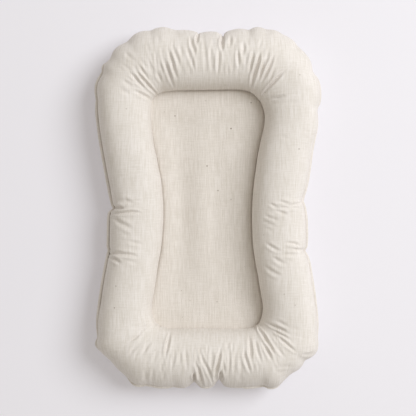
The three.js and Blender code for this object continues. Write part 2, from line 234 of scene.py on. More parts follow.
class MiddleLine:
    """The bolster's middle line from above, clockwise from the middle of the head end."""

    def __init__(self):
        head_end = HEAD_Y - HEAD_CORNER
        foot_end = FOOT_Y + FOOT_CORNER
        head_run = head_end + WAIST_SHIFT
        foot_run = -WAIST_SHIFT - foot_end
        right = [
            [(0, HEAD_Y)],
            arc((HEAD_X - HEAD_CORNER, head_end), HEAD_CORNER, 90, 0),
            sweep(
                (HEAD_X, head_end),
                (HEAD_X, head_end - HEAD_SWEEP_SHARE * head_run),
                (WAIST_X, -WAIST_SHIFT + WAIST_SWEEP_SHARE * head_run),
                (WAIST_X, -WAIST_SHIFT),
            ),
            sweep(
                (WAIST_X, -WAIST_SHIFT),
                (WAIST_X, -WAIST_SHIFT - WAIST_SWEEP_SHARE * foot_run),
                (FOOT_X, foot_end + FOOT_SWEEP_SHARE * foot_run),
                (FOOT_X, foot_end),
            ),
            arc((FOOT_X - FOOT_CORNER, foot_end), FOOT_CORNER, 0, -90),
            [(0, FOOT_Y)],
        ]
        half = np.concatenate([np.array(part, float) for part in right])
        points = np.concatenate([half, half[::-1] * (-1, 1)])
        steps = np.linalg.norm(np.diff(points, axis=0), axis=1)
        keep = np.concatenate([[True], steps > SAME_PLACE])
        points = points[keep]
        travelled = np.concatenate([[0], np.cumsum(np.linalg.norm(np.diff(points, axis=0), axis=1))])
        self.length = travelled[-1]
        self.distances = np.linspace(0, self.length, round(self.length / LINE_STEP) + 1)
        self.points = np.stack([np.interp(self.distances, travelled, points[:, i]) for i in (0, 1)], 1)
        open_points = self.points[:-1]
        along = np.roll(open_points, -DIRECTION_STEPS, 0) - np.roll(open_points, DIRECTION_STEPS, 0)
        along /= np.linalg.norm(along, axis=1)[:, None]
        out = np.stack([-along[:, 1], along[:, 0]], 1)
        self.outs = np.concatenate([out, out[:1]])

    def at(self, distance):
        """(point, outward direction) at distances along the line, each with two columns."""
        wrapped = np.mod(distance, self.length)
        point = np.stack([np.interp(wrapped, self.distances, self.points[:, i]) for i in (0, 1)], -1)
        out = np.stack([np.interp(wrapped, self.distances, self.outs[:, i]) for i in (0, 1)], -1)
        return point, out / np.linalg.norm(out, axis=-1, keepdims=True)

    def nearest(self, point):
        """Distance along the line to its place nearest to a point."""
        return self.distances[np.argmin(np.linalg.norm(self.points - point, axis=1))]

    def apart(self, distance, other):
        """How far two places lie from each other along the line."""
        around = np.mod(np.abs(distance - other), self.length)
        return np.minimum(around, self.length - around)


line = MiddleLine()


def smooth(x):
    x = np.clip(x, 0, 1)
    return x * x * (3 - 2 * x)


# The scalloped outer edge and the nest's edge

# The lounger's outline from above, clockwise from the middle of its head end
OUTLINE_PX = [
    (212, 31.5), (217, 32), (220.5, 34.5), (223.5, 36.5), (225, 33), (227, 31.5), (232, 29.8), (238, 28.7),
    (243, 28.8), (249, 30.3), (252, 28.3), (257, 26.8), (263, 28), (266, 29.8), (270, 29.6), (274, 30),
    (279, 32), (283, 35), (286.5, 36), (289, 38), (293, 40.3), (295.5, 43), (297, 46), (301, 49.5),
    (304, 52.5), (308, 57), (310.5, 61), (312, 66), (312.8, 72), (314, 73.8), (317, 77), (319.5, 83),
    (320.6, 90), (320.7, 98), (320, 104), (318, 108), (317.2, 111), (318, 115), (318.2, 124), (317.5, 130),
    (315.8, 137), (313.8, 145), (312.4, 152.5), (311.2, 161), (310, 170), (308.7, 178), (307.3, 185),
    (305.8, 191), (303.8, 197), (302.8, 201), (304, 204), (305.2, 208), (306.3, 214), (307, 222),
    (307.3, 232), (307.2, 240), (306.8, 246), (304.3, 250.5), (306.5, 253.5), (308.3, 257.5), (309.9, 263),
    (311.3, 271), (312.8, 280), (314.3, 290), (315.6, 300), (316.9, 310), (317.7, 320), (317.8, 330),
    (317.3, 336), (317.8, 340), (318.3, 345), (317.5, 350), (315, 354), (312, 357), (308, 358.8),
    (304.3, 360.2), (303.3, 364), (300.5, 367.5), (296.8, 370.5), (292, 372.8), (288.3, 376), (285, 379.3),
    (281.5, 384), (278, 387), (273, 388.7), (268, 388.2), (264, 385.8), (260, 386.6), (254, 387.5),
    (246, 388), (242, 387.2), (236, 387.4), (228, 387), (224, 385.8), (221, 382), (219, 378.5),
    (217.5, 380.5), (214.5, 385), (210.5, 387.3), (206, 388), (201, 387.2), (197.5, 384.5), (194.6, 381.5),
    (192, 383.5), (189, 386), (184, 387.8), (178, 387.3), (174, 386.4), (168, 387.6), (160, 387.6),
    (152, 386.2), (146, 385), (141, 386.2), (135.5, 385.5), (131.5, 383), (129, 380), (127.3, 377.3),
    (122, 373), (117, 368), (112, 362), (108, 358), (103, 354), (98.8, 349.5), (96, 345.5), (95.5, 342),
    (98.2, 337), (97.4, 330), (97, 322), (97.5, 315), (98.5, 307), (99.6, 299), (101, 289), (102.6, 279),
    (104.3, 270), (105.8, 262), (107.3, 255.5), (108.8, 249.5), (107.6, 246), (107.8, 240), (107.9, 232),
    (108, 224), (108.3, 218), (108.8, 213), (110.5, 210.5), (113.8, 208.5), (112, 204.5), (110.8, 200),
    (109.2, 193), (107.6, 184), (105.8, 175), (104, 165), (102.2, 155), (100.6, 146), (99.2, 137),
    (98, 128), (97, 120), (96.3, 112), (96.6, 104), (97, 99.5), (95.6, 95), (95.5, 89), (96.4, 83.5),
    (98.3, 79), (101.8, 74), (102.8, 71), (101.8, 68.5), (103.2, 65), (107, 62), (111.3, 57), (112.3, 53),
    (114.5, 49.5), (118.6, 46), (122.5, 44.3), (127.5, 42), (129, 40.5), (131, 37.5), (136, 33.5),
    (141, 31.5), (146, 30.9), (151, 31), (154, 29), (158, 27.7), (163, 27), (168, 27.7), (173, 29.5),
    (177, 30.2), (183, 29.9), (188, 30.2), (193, 31), (196.5, 32.3), (198.6, 34), (201, 33), (206, 31.8),
]
# The line where the bolster overhangs the sling, in the same order
NEST_PX = [
    (207, 90.3), (225, 89.8), (240, 89.8), (247, 91), (251, 93), (255, 96), (258, 99.5), (261, 103.5),
    (263, 108), (264.3, 113), (264.5, 120), (263.5, 128), (261.7, 135), (259.5, 145), (257.5, 155),
    (256, 166), (254, 180), (253, 190), (252, 205), (251.6, 215), (252, 230), (252.5, 245), (254, 255),
    (255.5, 265), (257.5, 275), (259, 285), (260, 290), (261, 297), (262.2, 302), (262.7, 307),
    (262.3, 312), (261.5, 317), (259.5, 321), (256, 325), (252, 327.5), (248, 328.3), (243, 328.7),
    (225, 328.4), (207, 328.3), (190, 328.3), (178, 328.3), (170, 328.2), (165, 327.3), (161, 325.8),
    (158, 323.5), (155, 320.5), (153, 317.5), (152.2, 313), (152, 308), (152.3, 303), (153.3, 297),
    (154.7, 290), (156.8, 277), (158.3, 265), (160.3, 255), (161.8, 245), (163, 230), (163.7, 218),
    (163.5, 205), (162.5, 192), (161.5, 180), (158.5, 167), (157, 157), (154.3, 147), (153, 137),
    (152, 130), (151, 115), (151.5, 107), (152.3, 100), (155, 96), (160, 93.3), (168, 91.5), (175, 90.6),
    (185, 90.5), (195, 90.4),
]
# The ends of the closed openings, where the cover is drawn in
TUCKS_PX = [
    (198.6, 34), (223.5, 36.5), (302.8, 201), (304.3, 250.5), (219, 378.5), (194.6, 381.5), (108.8, 249.5),
    (113.8, 208.5),
]


def eased_round(values, run):
    """Values along the ring, averaged over a run of it."""
    count = round(run / LINE_STEP)
    wrapped = np.concatenate([values[-count:], values, values[:count]])
    return np.convolve(wrapped, np.full(count, 1 / count), "same")[count:-count]


def along_ring(places_px, values, ease):
    """Values at places of the photograph, spread over all of the ring's own distances."""
    places = sorted((line.nearest(at_pixel(*place)), value) for place, value in zip(places_px, values))
    distances, values = zip(*places)
    return eased_round(np.interp(line.distances, distances, values, period=line.length), ease)


def measured_reach(places_px):
    """How far a measured edge lies from the middle line, at each of the ring's own distances."""
    points = [at_pixel(*place) for place in places_px]
    nearest = [np.argmin(np.linalg.norm(line.points - point, axis=1)) for point in points]
    reach = [abs((point - line.points[i]) @ line.outs[i]) for point, i in zip(points, nearest)]
    return along_ring(places_px, reach, EDGE_EASE)


outline_reach = measured_reach(OUTLINE_PX)
nest_reach = measured_reach(NEST_PX)


def round_ring(values, distance):
    return np.interp(distance, line.distances, values, period=line.length)


def sway(distance, waves, seed):
    """A slow wander along the ring, from -1 to 1, that meets itself."""
    turns = np.random.default_rng(seed).uniform(0, 2 * math.pi, len(waves))
    total = sum(np.sin(2 * math.pi * k * distance / line.length + turn) for k, turn in zip(waves, turns))
    return total / len(waves)


# The outer seam's angle above the widest line, in degrees. Under the overhang at the head it is out of sight
SEAM_ANGLES_PX = {
    (211, 30): -10,
    (283, 34): -7,
    (300, 49): -5,
    (316, 76): 2,
    (320, 96): 4,
    (318, 118): 1,
    (312, 150): 4,
    (303, 222): 5,
    (315, 300): 4,
    (318, 330): 2,
    (304, 360): -3,
    (284, 380): -1,
    (250, 388): 2,
    (206, 387): 1,
    (160, 388): 2,
    (112, 362): 1,
    (97, 335): 4,
    (108, 230): 5,
    (97, 105): 4,
    (102, 72): 1,
    (115, 49): -5,
    (145, 31): -8,
}
SEAM_EASE = 40 * MM
SEAM_SWAY = 1.2
SEAM_WAVES = (7, 12, 19, 31)
along_seam = np.radians(along_ring(SEAM_ANGLES_PX.keys(), SEAM_ANGLES_PX.values(), SEAM_EASE))
along_seam += math.radians(SEAM_SWAY) * sway(line.distances, SEAM_WAVES, seed=5)


def seam_angle(distance):
    """The angle above the widest line at which the outer seam runs."""
    return round_ring(along_seam, distance)


# How much of the welt stands out of the cover, as a share: all of it on the left, none at the head
WELT_SHOWN_PX = {
    (211, 30): 0,
    (310, 61): 0,
    (316, 76): 0.3,
    (320, 96): 0.5,
    (318, 110): 0.25,
    (316, 135): 0.35,
    (312, 152): 0.55,
    (304, 204): 0.7,
    (307, 232): 0.8,
    (305, 250): 0.65,
    (313, 280): 0.68,
    (315, 296): 0.75,
    (318, 328): 0.5,
    (317, 350): 0.3,
    (312, 357): 0.55,
    (305, 359): 0,
    (284, 380): 0,
    (272, 388): 0.7,
    (250, 388): 0.65,
    (219, 379): 0.2,
    (206, 388): 0.65,
    (194, 382): 0.2,
    (160, 388): 0.68,
    (146, 385): 0.6,
    (136, 385): 0.75,
    (128, 378): 0.4,
    (122, 373): 0.1,
    (104, 355): 0.1,
    (96, 343): 0.5,
    (97, 330): 0.55,
    (97, 318): 0.7,
    (99, 305): 1,
    (108, 249): 1,
    (108, 215): 1,
    (112, 206): 0.85,
    (108, 185): 1,
    (97, 115): 1,
    (96, 95): 0.85,
    (102, 70): 0.9,
    (107, 62): 0.2,
    (130, 39): 0,
}
WELT_EASE = 16 * MM
along_welt = along_ring(WELT_SHOWN_PX.keys(), WELT_SHOWN_PX.values(), WELT_EASE)


def welt_shown(distance):
    return round_ring(along_welt, distance)


# How deep the crevice round the nest is, as a share
CREVICE_PX = {
    (207, 90): 0.8,
    (180, 90.6): 0.6,
    (165, 92): 0.15,
    (151, 108): 0,
    (151.5, 122): 0.2,
    (154, 140): 0.6,
    (162, 190): 0.8,
    (163, 235): 0.9,
    (160, 262): 0.9,
    (155, 288): 0.6,
    (152, 306): 0.2,
    (158, 323): 0,
    (175, 328): 0.15,
    (207, 328): 0.3,
    (245, 329): 0.2,
    (256, 325): 0.2,
    (262, 312): 0.9,
    (258, 280): 1.3,
    (252, 240): 1.2,
    (252, 200): 1.2,
    (256, 160): 1.3,
    (264, 118): 1,
    (257, 99): 0.8,
    (240, 90): 0.8,
}
crevice_share = along_ring(CREVICE_PX.keys(), CREVICE_PX.values(), SEAM_EASE)


# The bolster's section

strip_angle = math.acos(FLOOR_STRIP_SHARE ** (1 / ROUNDNESS))
UNDER_RISE = OUTER_SEAM_HEIGHT / math.sin(strip_angle) ** ROUNDNESS
inner_drop_share = (OUTER_SEAM_HEIGHT - INNER_SEAM_HEIGHT) / UNDER_RISE
INNER_SEAM_ANGLE = math.pi + math.asin(inner_drop_share ** (1 / ROUNDNESS))


def power(x, exponent):
    return np.sign(x) * np.abs(x) ** exponent


def section(distance, angle, sunk=0):
    """Points of the cover at distances along the ring and angles round the section, sunk below it."""
    point, out = line.at(distance)
    headward = np.maximum(0, out[..., 1]) ** 2
    footward = np.maximum(0, -out[..., 1]) ** 2
    at_ends = headward + footward
    wider = (HEAD_BOLSTER - SIDE_BOLSTER) * headward + (FOOT_BOLSTER - SIDE_BOLSTER) * footward
    half_width = (SIDE_BOLSTER + wider) / 2
    crown = SIDE_CROWN + (END_CROWN - SIDE_CROWN) * at_ends
    across, up = np.cos(angle), np.sin(angle)
    outer_reach = round_ring(outline_reach, distance) - WELT_REACH * welt_shown(distance)
    drawn_in = half_width - np.where(across > 0, outer_reach, round_ring(nest_reach, distance))
    drawn_in *= across**2
    rise = np.where(up > 0, crown - OUTER_SEAM_HEIGHT, UNDER_RISE) - sunk
    upper_outside = (up > 0) & (across > 0)
    exponent = ROUNDNESS + (END_ROUNDNESS - ROUNDNESS) * at_ends * upper_outside
    u = (half_width - sunk) * power(across, exponent) - drawn_in * np.sign(across)
    fall = EDGE_FALL_SHARE * drawn_in * np.maximum(0, up) * (across > 0)
    z = np.maximum(OUTER_SEAM_HEIGHT + rise * power(up, exponent) - fall, sunk)
    return np.concatenate([point + out * u[..., None], z[..., None]], -1)


# Folds of the cover, each with its places in the photograph, its depth and width in millimetres, and how
# much of its depth it has at its first and its last place
HEAD_FOLDS_PX = [
    ([(161, 56), (165, 63), (168, 70), (170.5, 78), (173.5, 86)], 4.2, 2.6, 0, 0.4),
    ([(167.5, 47.5), (169.5, 54), (172, 62), (174.5, 71), (178, 80)], 4.3, 2.6, 0.1, 0.1),
    ([(172.5, 45), (175, 53), (178, 60), (180.5, 67)], 3.2, 2.5, 0, 0),
    ([(179, 43), (181, 50), (182.5, 57)], 1.8, 2.6, 0, 0),
    ([(186, 45.5), (189, 54), (191.5, 60), (193.5, 67), (195, 72)], 3, 2.5, 0, 0),
    ([(190, 37), (192, 45), (194.3, 50), (195, 56)], 4.2, 2.5, 0.2, 0),
    ([(198.3, 34), (197.3, 38), (196.5, 44)], 4.6, 2.4, 0.45, 0),
    ([(204, 36), (205, 52), (206, 76)], 1.4, 3, 0.3, 0),
    ([(210.5, 44), (211, 57), (212, 74)], 2, 2.8, 0, 0),
    ([(217.5, 46), (219, 54), (218.5, 64), (217.5, 76)], 3, 2.6, 0, 0),
    ([(223, 36), (222, 41), (222, 45), (222.5, 51)], 5, 2.8, 0.45, 0),
    ([(230.5, 36), (230.3, 42), (230, 48)], 3, 2.6, 0.2, 0),
    ([(238.3, 48), (238, 55), (238.5, 62), (239, 69)], 3.4, 2.4, 0, 0),
    ([(243, 40), (243, 48), (242, 58)], 2.4, 3.2, 0, 0),
    ([(247.5, 48), (246, 58), (245, 66)], 1.6, 2.8, 0, 0),
    ([(254, 48), (252.5, 57), (250.5, 66), (249, 76)], 3.1, 2.6, 0, 0),
    ([(261, 50), (258.8, 57), (256.5, 66), (253.5, 75), (251.5, 86)], 5.6, 2.9, 0.1, 0.4),
    ([(266, 57), (263.5, 64), (261, 72), (258.5, 80)], 4.2, 2.5, 0, 0),
    ([(269.5, 48), (267, 55), (266, 60)], 1.8, 2.6, 0, 0),
    ([(275, 52), (271.5, 61), (268, 69), (265, 75), (261, 84)], 4.2, 2.5, 0, 0),
    ([(275.5, 67), (272, 74), (269.5, 80)], 3, 2.4, 0, 0),
    ([(286, 69), (280, 75.5), (273, 82.5), (267, 89), (263, 94)], 5.6, 2.2, 0.1, 0.4),
    ([(289, 95.3), (280, 97), (270.5, 99.8)], 5.6, 1.9, 0, 0.1),
    ([(285, 102), (280, 103.5), (274, 107)], 1.6, 2.8, 0, 0),
    ([(155, 70), (158, 75), (162, 82.5)], 2.6, 2.6, 0, 0),
    ([(158, 62), (161, 67), (163.5, 72)], 2, 2.6, 0, 0),
    ([(135.5, 70.5), (141, 77), (145, 82), (149, 86.5), (156, 93.5)], 3.9, 2.4, 0, 0.4),
    ([(128.5, 71), (133.5, 76), (137, 80.5), (141, 85), (146, 90)], 3, 2.5, 0, 0),
    ([(138, 64), (142.5, 71), (146, 76.5), (149, 80)], 2.2, 2.5, 0, 0),
    ([(133, 90), (141, 94), (147, 97.5), (151.5, 101)], 3.4, 2.6, 0, 0.3),
    ([(119, 88), (123, 91), (130, 94)], 2.2, 3.2, 0, 0),
    ([(122, 80), (127, 83), (132, 87)], 1.8, 3, 0, 0),
    ([(147, 62), (151, 69), (155, 77)], 1.4, 2.8, 0, 0),
]
FOOT_FOLDS_PX = [
    ([(152, 322), (145, 327), (140, 333), (135, 338), (126, 343.5)], 2.6, 2.1, 0.2, 0),
    ([(137, 345), (132.5, 350), (129, 355.5)], 2.4, 2.5, 0, 0),
    ([(152, 340), (147.5, 346.5), (143.5, 353.5)], 1.9, 2.8, 0, 0),
    ([(158, 350), (155, 357), (152.5, 364)], 1.2, 2.6, 0, 0),
    ([(170, 332), (168, 343), (166.5, 350), (165, 359)], 4.2, 2.5, 0.1, 0),
    ([(164, 358), (163, 363), (162, 369)], 1.5, 2.5, 0, 0),
    ([(175, 344), (174, 356), (172.5, 364), (171, 373)], 1.6, 2.8, 0, 0),
    ([(181, 352), (180, 358), (179.5, 365)], 1.4, 2.6, 0, 0),
    ([(185.5, 347), (186, 358), (187, 372)], 1.2, 2.8, 0, 0),
    ([(194.8, 382), (194.3, 378), (194, 372.5)], 5.2, 2.4, 0.3, 0),
    ([(203, 385), (200, 376), (198.5, 370), (196, 363)], 4.2, 2.6, 0.5, 0),
    ([(212.5, 383), (209.5, 374), (207, 368), (204, 363), (201.5, 357), (199, 348)], 3.5, 2.4, 0.2, 0),
    ([(211.5, 348), (212, 358), (211, 368)], 1.3, 2.6, 0, 0),
    ([(215, 379), (216, 370), (217.5, 364), (219.5, 356), (221, 346)], 5, 2.6, 0.3, 0),
    ([(222, 380), (221, 376), (220, 371)], 5.4, 2.8, 0.3, 0),
    ([(223.5, 361), (224, 367), (225, 374)], 1.6, 2.4, 0, 0),
    ([(229.5, 348), (229, 362), (229, 380)], 1.1, 2.8, 0, 0.2),
    ([(235.5, 350), (234.5, 362), (234, 376)], 1.4, 2.8, 0, 0),
    ([(240.5, 358), (240.8, 366), (241.5, 376)], 1.3, 2.5, 0, 0),
    ([(244, 347), (244.7, 356), (247, 363), (249.5, 370), (251.5, 376)], 4, 2.5, 0, 0),
    ([(249, 334), (250, 346), (250.5, 356), (252.5, 364)], 3.6, 2.6, 0.1, 0),
    ([(255, 338), (257, 350), (259.5, 357), (262.5, 365)], 3, 2.6, 0, 0),
    ([(261, 340), (266, 349), (269.5, 355), (272.5, 362)], 4, 2.5, 0, 0),
    ([(258.5, 329), (263, 335), (267, 342), (271, 348), (276, 356.5)], 5, 2.6, 0.4, 0),
    ([(276, 346), (280, 352), (285, 357)], 2.2, 2.4, 0, 0),
    ([(274.5, 333), (281, 339), (285, 343), (291, 348), (296.5, 353.5)], 3.8, 2.4, 0, 0),
    ([(272, 328.5), (278, 333), (284, 336), (292, 341.5)], 3.2, 2.3, 0, 0),
    ([(266, 322.5), (273, 326), (280, 329), (286, 332), (291, 337)], 4.4, 2.4, 0.2, 0),
    ([(275, 320), (283, 324), (290, 328)], 3.2, 2.3, 0, 0),
    ([(272, 368.5), (283, 367), (296, 365)], 1.2, 2.4, 0, 0),
    ([(274, 373), (282, 372), (290, 370)], 1, 2.4, 0, 0),
    ([(303, 354.8), (308, 354.5), (313.5, 352.5)], 2.8, 2.2, 0.5, 0.3),
    ([(304, 349.5), (309, 349.5), (313, 348)], 1.2, 2.2, 0.2, 0),
    ([(144, 368), (145.5, 376), (147, 384)], 1, 2.6, 0, 0.3),
    ([(152, 366), (152.5, 376), (153, 385)], 0.9, 2.6, 0, 0.3),
]
WAIST_FOLDS_PX = [
    ([(113, 206.8), (118, 208), (125, 208.5)], 3.8, 2.8, 0.1, 0),
    ([(111, 214), (120, 213), (130, 212.5), (137, 212), (143, 214.5)], 4.8, 2.5, 0.4, 0),
    ([(111, 216.5), (120, 223), (126, 226), (130, 228), (135.5, 230.5)], 3, 3.4, 0.2, 0),
    ([(117, 202), (126, 201), (134, 202.8)], 2.8, 3.2, 0, 0),
    ([(120, 233), (125, 234.5), (131, 235)], 1.6, 3, 0, 0),
    ([(126, 241), (136, 243), (144, 244.5)], 2, 2.8, 0, 0),
    ([(109.5, 254), (118, 253.5), (126, 254.5), (133, 255), (139, 257.5)], 3.8, 2.8, 0.6, 0),
    ([(109, 257), (116, 260), (121.5, 264.5)], 3.6, 2.8, 0.4, 0),
    ([(127, 261), (132, 262), (138, 262)], 1.4, 2.8, 0, 0),
    ([(279, 201), (285, 203), (290, 203.2)], 3, 2.4, 0, 0),
    ([(303, 202), (299, 203.5), (293, 205), (284, 205.5)], 3.4, 2.3, 0.15, 0),
    ([(279, 208.8), (287, 208), (293, 207.5), (301, 208)], 3.2, 2.3, 0, 0.1),
    ([(269.5, 203.5), (274, 206), (278.5, 208.3)], 3.2, 2.4, 0, 0),
    ([(274.5, 210.5), (281, 212.5), (289, 215.5)], 3.6, 2.4, 0, 0),
    ([(263, 214), (270, 218), (276, 220), (282, 222)], 3.2, 2.5, 0, 0),
    ([(262, 221), (269, 223), (276.5, 226.5)], 3, 2.5, 0, 0),
    ([(264.5, 242), (271, 246.5), (276, 249.5), (282, 252)], 3.2, 2.6, 0, 0),
    ([(284, 243), (294, 243.5), (301.5, 247)], 3.8, 2.4, 0, 0),
    ([(304, 249.5), (299, 250), (292, 249)], 3, 2.4, 0.15, 0),
    ([(282, 255), (290, 254.5), (297, 255.5)], 2, 2.6, 0, 0),
    ([(272, 256), (277, 260), (281, 263), (290, 264)], 3, 2.8, 0, 0),
    ([(264, 265.5), (271, 271), (276, 274), (283, 277)], 2.8, 3, 0, 0),
    ([(264, 228), (269, 229.5), (274, 231)], 1.4, 2.8, 0, 0),
]
FOLD_DEPTH_SHARE = 0.9
FOLD_FADE_SHARE = 0.34
FOLD_END_WIDTH_SHARE = 0.55
FOLD_REACH = 6
VALLEY_POWER = 1.25
SHOULDER_DEPTH_SHARE = 0.5
SHOULDER_PLACE = 2.3
SHOULDER_WIDTH = 1.05

# The folds start at a share of the outer seam's height and are whole a run above it
FOLD_FOOT_SHARE = 0.55
FOLD_FOOT_RUN_SHARE = 0.5

# Small gathers between the folds
GATHERS = 150
GATHER_SIDE_SHARE = 0.9
GATHER_SIDE_CHANCE = 0.12
GATHER_PLACE_SHARES = (-0.5, 0.75)
GATHER_RUNS = (14 * MM, 34 * MM)
GATHER_LEAN_SHARE = 0.22
GATHER_BEND_SHARE = 0.2
GATHER_DEPTHS = (0.4 * MM, 1.1 * MM)
GATHER_WIDTHS = (1.8 * MM, 3.4 * MM)


def fold_depths(plan, folds):
    """How far each place in plan lies below the cover because of these folds, less than 0 on a shoulder."""
    total = np.zeros(len(plan))
    for places, depth, width, first, last in folds:
        places = np.array(places)
        steps = np.linalg.norm(np.diff(places, axis=0), axis=1)
        before = np.concatenate([[0], np.cumsum(steps)]) / steps.sum()
        low, high = places.min(0) - FOLD_REACH * width, places.max(0) + FOLD_REACH * width
        near = np.all((plan > low) & (plan < high), axis=1)
        here = plan[near]
        best = np.full(len(here), np.inf)
        share = np.zeros(len(here))
        for a, b, start, end in zip(places[:-1], places[1:], before[:-1], before[1:]):
            t = np.clip((here - a) @ (b - a) / ((b - a) @ (b - a)), 0, 1)
            away = np.linalg.norm(here - (a + t[:, None] * (b - a)), axis=1)
            closer = away < best
            best[closer] = away[closer]
            share[closer] = (start + t * (end - start))[closer]
        fade = first + (1 - first) * smooth(share / FOLD_FADE_SHARE)
        fade *= last + (1 - last) * smooth((1 - share) / FOLD_FADE_SHARE)
        widths = best / (width * (FOLD_END_WIDTH_SHARE + (1 - FOLD_END_WIDTH_SHARE) * fade))
        valley = np.exp(-(widths**VALLEY_POWER))
        shoulder = SHOULDER_DEPTH_SHARE * np.exp(-(((widths - SHOULDER_PLACE) / SHOULDER_WIDTH) ** 2))
        total[near] += depth * fade * (valley - shoulder)
    return total


def photographed_folds(rows):
    """The folds of a table, in metres on the floor plan."""
    made = []
    for places, depth, width, first, last in rows:
        plan = np.array([at_pixel(x, y) for x, y in places])
        made.append((plan, depth * FOLD_DEPTH_SHARE * MM, width * MM, first, last))
    return made


def small_gathers():
    """Fine random wrinkles across the bolster where it is gathered, at the ends and round the corners."""
    random = np.random.default_rng(11)
    made = []
    while len(made) < GATHERS:
        distance = random.uniform(0, line.length)
        point, out = line.at(np.array([distance]))
        if abs(out[0, 0]) > GATHER_SIDE_SHARE and random.uniform() > GATHER_SIDE_CHANCE:
            continue
        middle = random.uniform(*GATHER_PLACE_SHARES)
        run = random.uniform(*GATHER_RUNS)
        lean = random.uniform(-GATHER_LEAN_SHARE, GATHER_LEAN_SHARE)
        along = np.array([out[0, 1], -out[0, 0]])
        centre = point[0] + out[0] * middle * SIDE_BOLSTER / 2
        step = (out[0] + along * lean) * run / 2
        bend = along * lean * run * GATHER_BEND_SHARE
        depth = random.uniform(*GATHER_DEPTHS)
        width = random.uniform(*GATHER_WIDTHS)
        made.append((np.array([centre - step, centre + bend, centre + step]), depth, width, 0, 0))
    return made


# Meshes


def column_places(count):
    """Distances along the ring for a grid's columns: closer at the ends, the corners and the tucks."""
    distance = line.distances
    _, out = line.at(distance)
    density = 1 + END_DENSITY * (1 - np.abs(out[:, 0]) ** END_DENSITY_POWER)
    for place in TUCKS_PX:
        from_tuck = line.apart(distance, line.nearest(at_pixel(*place)))
        density += TUCK_DENSITY * np.exp(-((from_tuck / TUCK_RUN) ** 2))
    total = np.concatenate([[0], np.cumsum((density[1:] + density[:-1]) / 2)])
    return np.interp(np.linspace(0, total[-1], count + 1), total, distance)


def row_shares(count, run):
    """Shares from 0 to 1 of a run between two seams, close by each seam and even between."""
    near = SEAM_ROWS / run
    between = np.linspace(near[-1], 1 - near[-1], count + 3 - 2 * len(near))[1:-1]
    return np.concatenate([near, between, 1 - near[::-1]])


def new_piece(name, mesh):
    piece = bpy.data.objects.new(name, mesh)
    bpy.context.scene.collection.objects.link(piece)
    for polygon in mesh.polygons:
        polygon.use_smooth = True
    return piece


def coordinates(mesh):
    co = np.empty(len(mesh.vertices) * 3, np.float32)
    mesh.vertices.foreach_get("co", co)
    return co.reshape(-1, 3).astype(float)


def set_coordinates(mesh, co):
    mesh.vertices.foreach_set("co", np.ascontiguousarray(co, np.float32).ravel())
    mesh.update()


def write_attribute(mesh, name, vectors):
    attribute = mesh.attributes.new(name, "FLOAT_VECTOR", "POINT")
    attribute.data.foreach_set("vector", np.ascontiguousarray(vectors, np.float32).ravel())


def grid_mesh(name, places, cloth):
    """A closed mesh through rows and columns of points, which also keeps their places on the flat cloth."""
    rows, columns = places.shape[:2]
    shape = bmesh.new()
    bmesh.ops.create_grid(shape, x_segments=columns - 1, y_segments=rows - 1, size=0.5)
    mesh = bpy.data.meshes.new(name)
    shape.to_mesh(mesh)
    shape.free()
    share = coordinates(mesh)[:, :2] + 0.5
    column = np.rint(share[:, 0] * (columns - 1)).astype(int)
    row = np.rint(share[:, 1] * (rows - 1)).astype(int)
    set_coordinates(mesh, places[row, column])
    write_attribute(mesh, "cloth", cloth[row, column])
    shape = bmesh.new()
    shape.from_mesh(mesh)
    bmesh.ops.remove_doubles(shape, verts=shape.verts, dist=MERGE_DISTANCE)
    shape.to_mesh(mesh)
    shape.free()
    return mesh


def normals_of(mesh):
    found = np.empty(len(mesh.vertices) * 3, np.float32)
    mesh.vertex_normals.foreach_get("vector", found)
    return found.reshape(-1, 3).astype(float)


def subdivided(piece):
    """The piece's mesh with one level of subdivision."""
    smoother = piece.modifiers.new("smoother", "SUBSURF")
    smoother.levels = smoother.render_levels = 1
    evaluated = piece.evaluated_get(bpy.context.evaluated_depsgraph_get())
    mesh = bpy.data.meshes.new_from_object(evaluated)
    piece.modifiers.clear()
    piece.data = mesh
    return mesh


def flat_cloth(distance, angle):
    """Where each place of the bolster's cover lies on the flat cloth, with its grain along Y."""
    point, out = line.at(distance)
    from_crown = (math.pi / 2 - angle) * (SIDE_BOLSTER / 2)
    flat = point + out * from_crown[..., None]
    return np.concatenate([flat, np.zeros_like(flat[..., :1])], -1)


def thicken(piece, thickness):
    wall = piece.modifiers.new("cloth thickness", "SOLIDIFY")
    wall.thickness = thickness
    wall.offset = -1
    wall.use_even_offset = False


# The cover


def cover_angles(distance, share_of_top, share_of_under):
    """Angles round the section for the rows of the top panel and of the under panel, from seam to seam."""
    seam = seam_angle(distance)[None, :]
    top = INNER_SEAM_ANGLE + (seam - INNER_SEAM_ANGLE) * share_of_top[:, None]
    under = seam + (INNER_SEAM_ANGLE - 2 * math.pi - seam) * share_of_under[:, None]
    return top, under


def ditch(angle, distance):
    """How far the cover dips towards its two seams at an angle round the section."""
    outer = np.abs(angle - seam_angle(distance)) * (SIDE_BOLSTER / 2)
    inner = np.abs(np.mod(angle, 2 * math.pi) - INNER_SEAM_ANGLE) * (SIDE_BOLSTER / 2)
    crevice = CREVICE_DEPTH * round_ring(crevice_share, distance)
    dips = ((DITCH_DEPTH, outer / DITCH_RUN), (crevice, inner / CREVICE_RUN))
    return sum(depth * np.exp(-(runs**DITCH_POWER)) for depth, runs in dips)


def cover_points(distance, angle):
    """The cover with its wrinkles and its dips at the two seams, before its folds."""
    places = section(distance, angle)
    _, out = line.at(distance)
    depth = ditch(angle, distance) - wrinkle_heights(distance, angle)
    places[..., :2] -= out * (depth * np.cos(angle))[..., None]
    places[..., 2] -= depth * np.sin(angle)
    places[..., 2] = np.maximum(places[..., 2], 0)
    return places


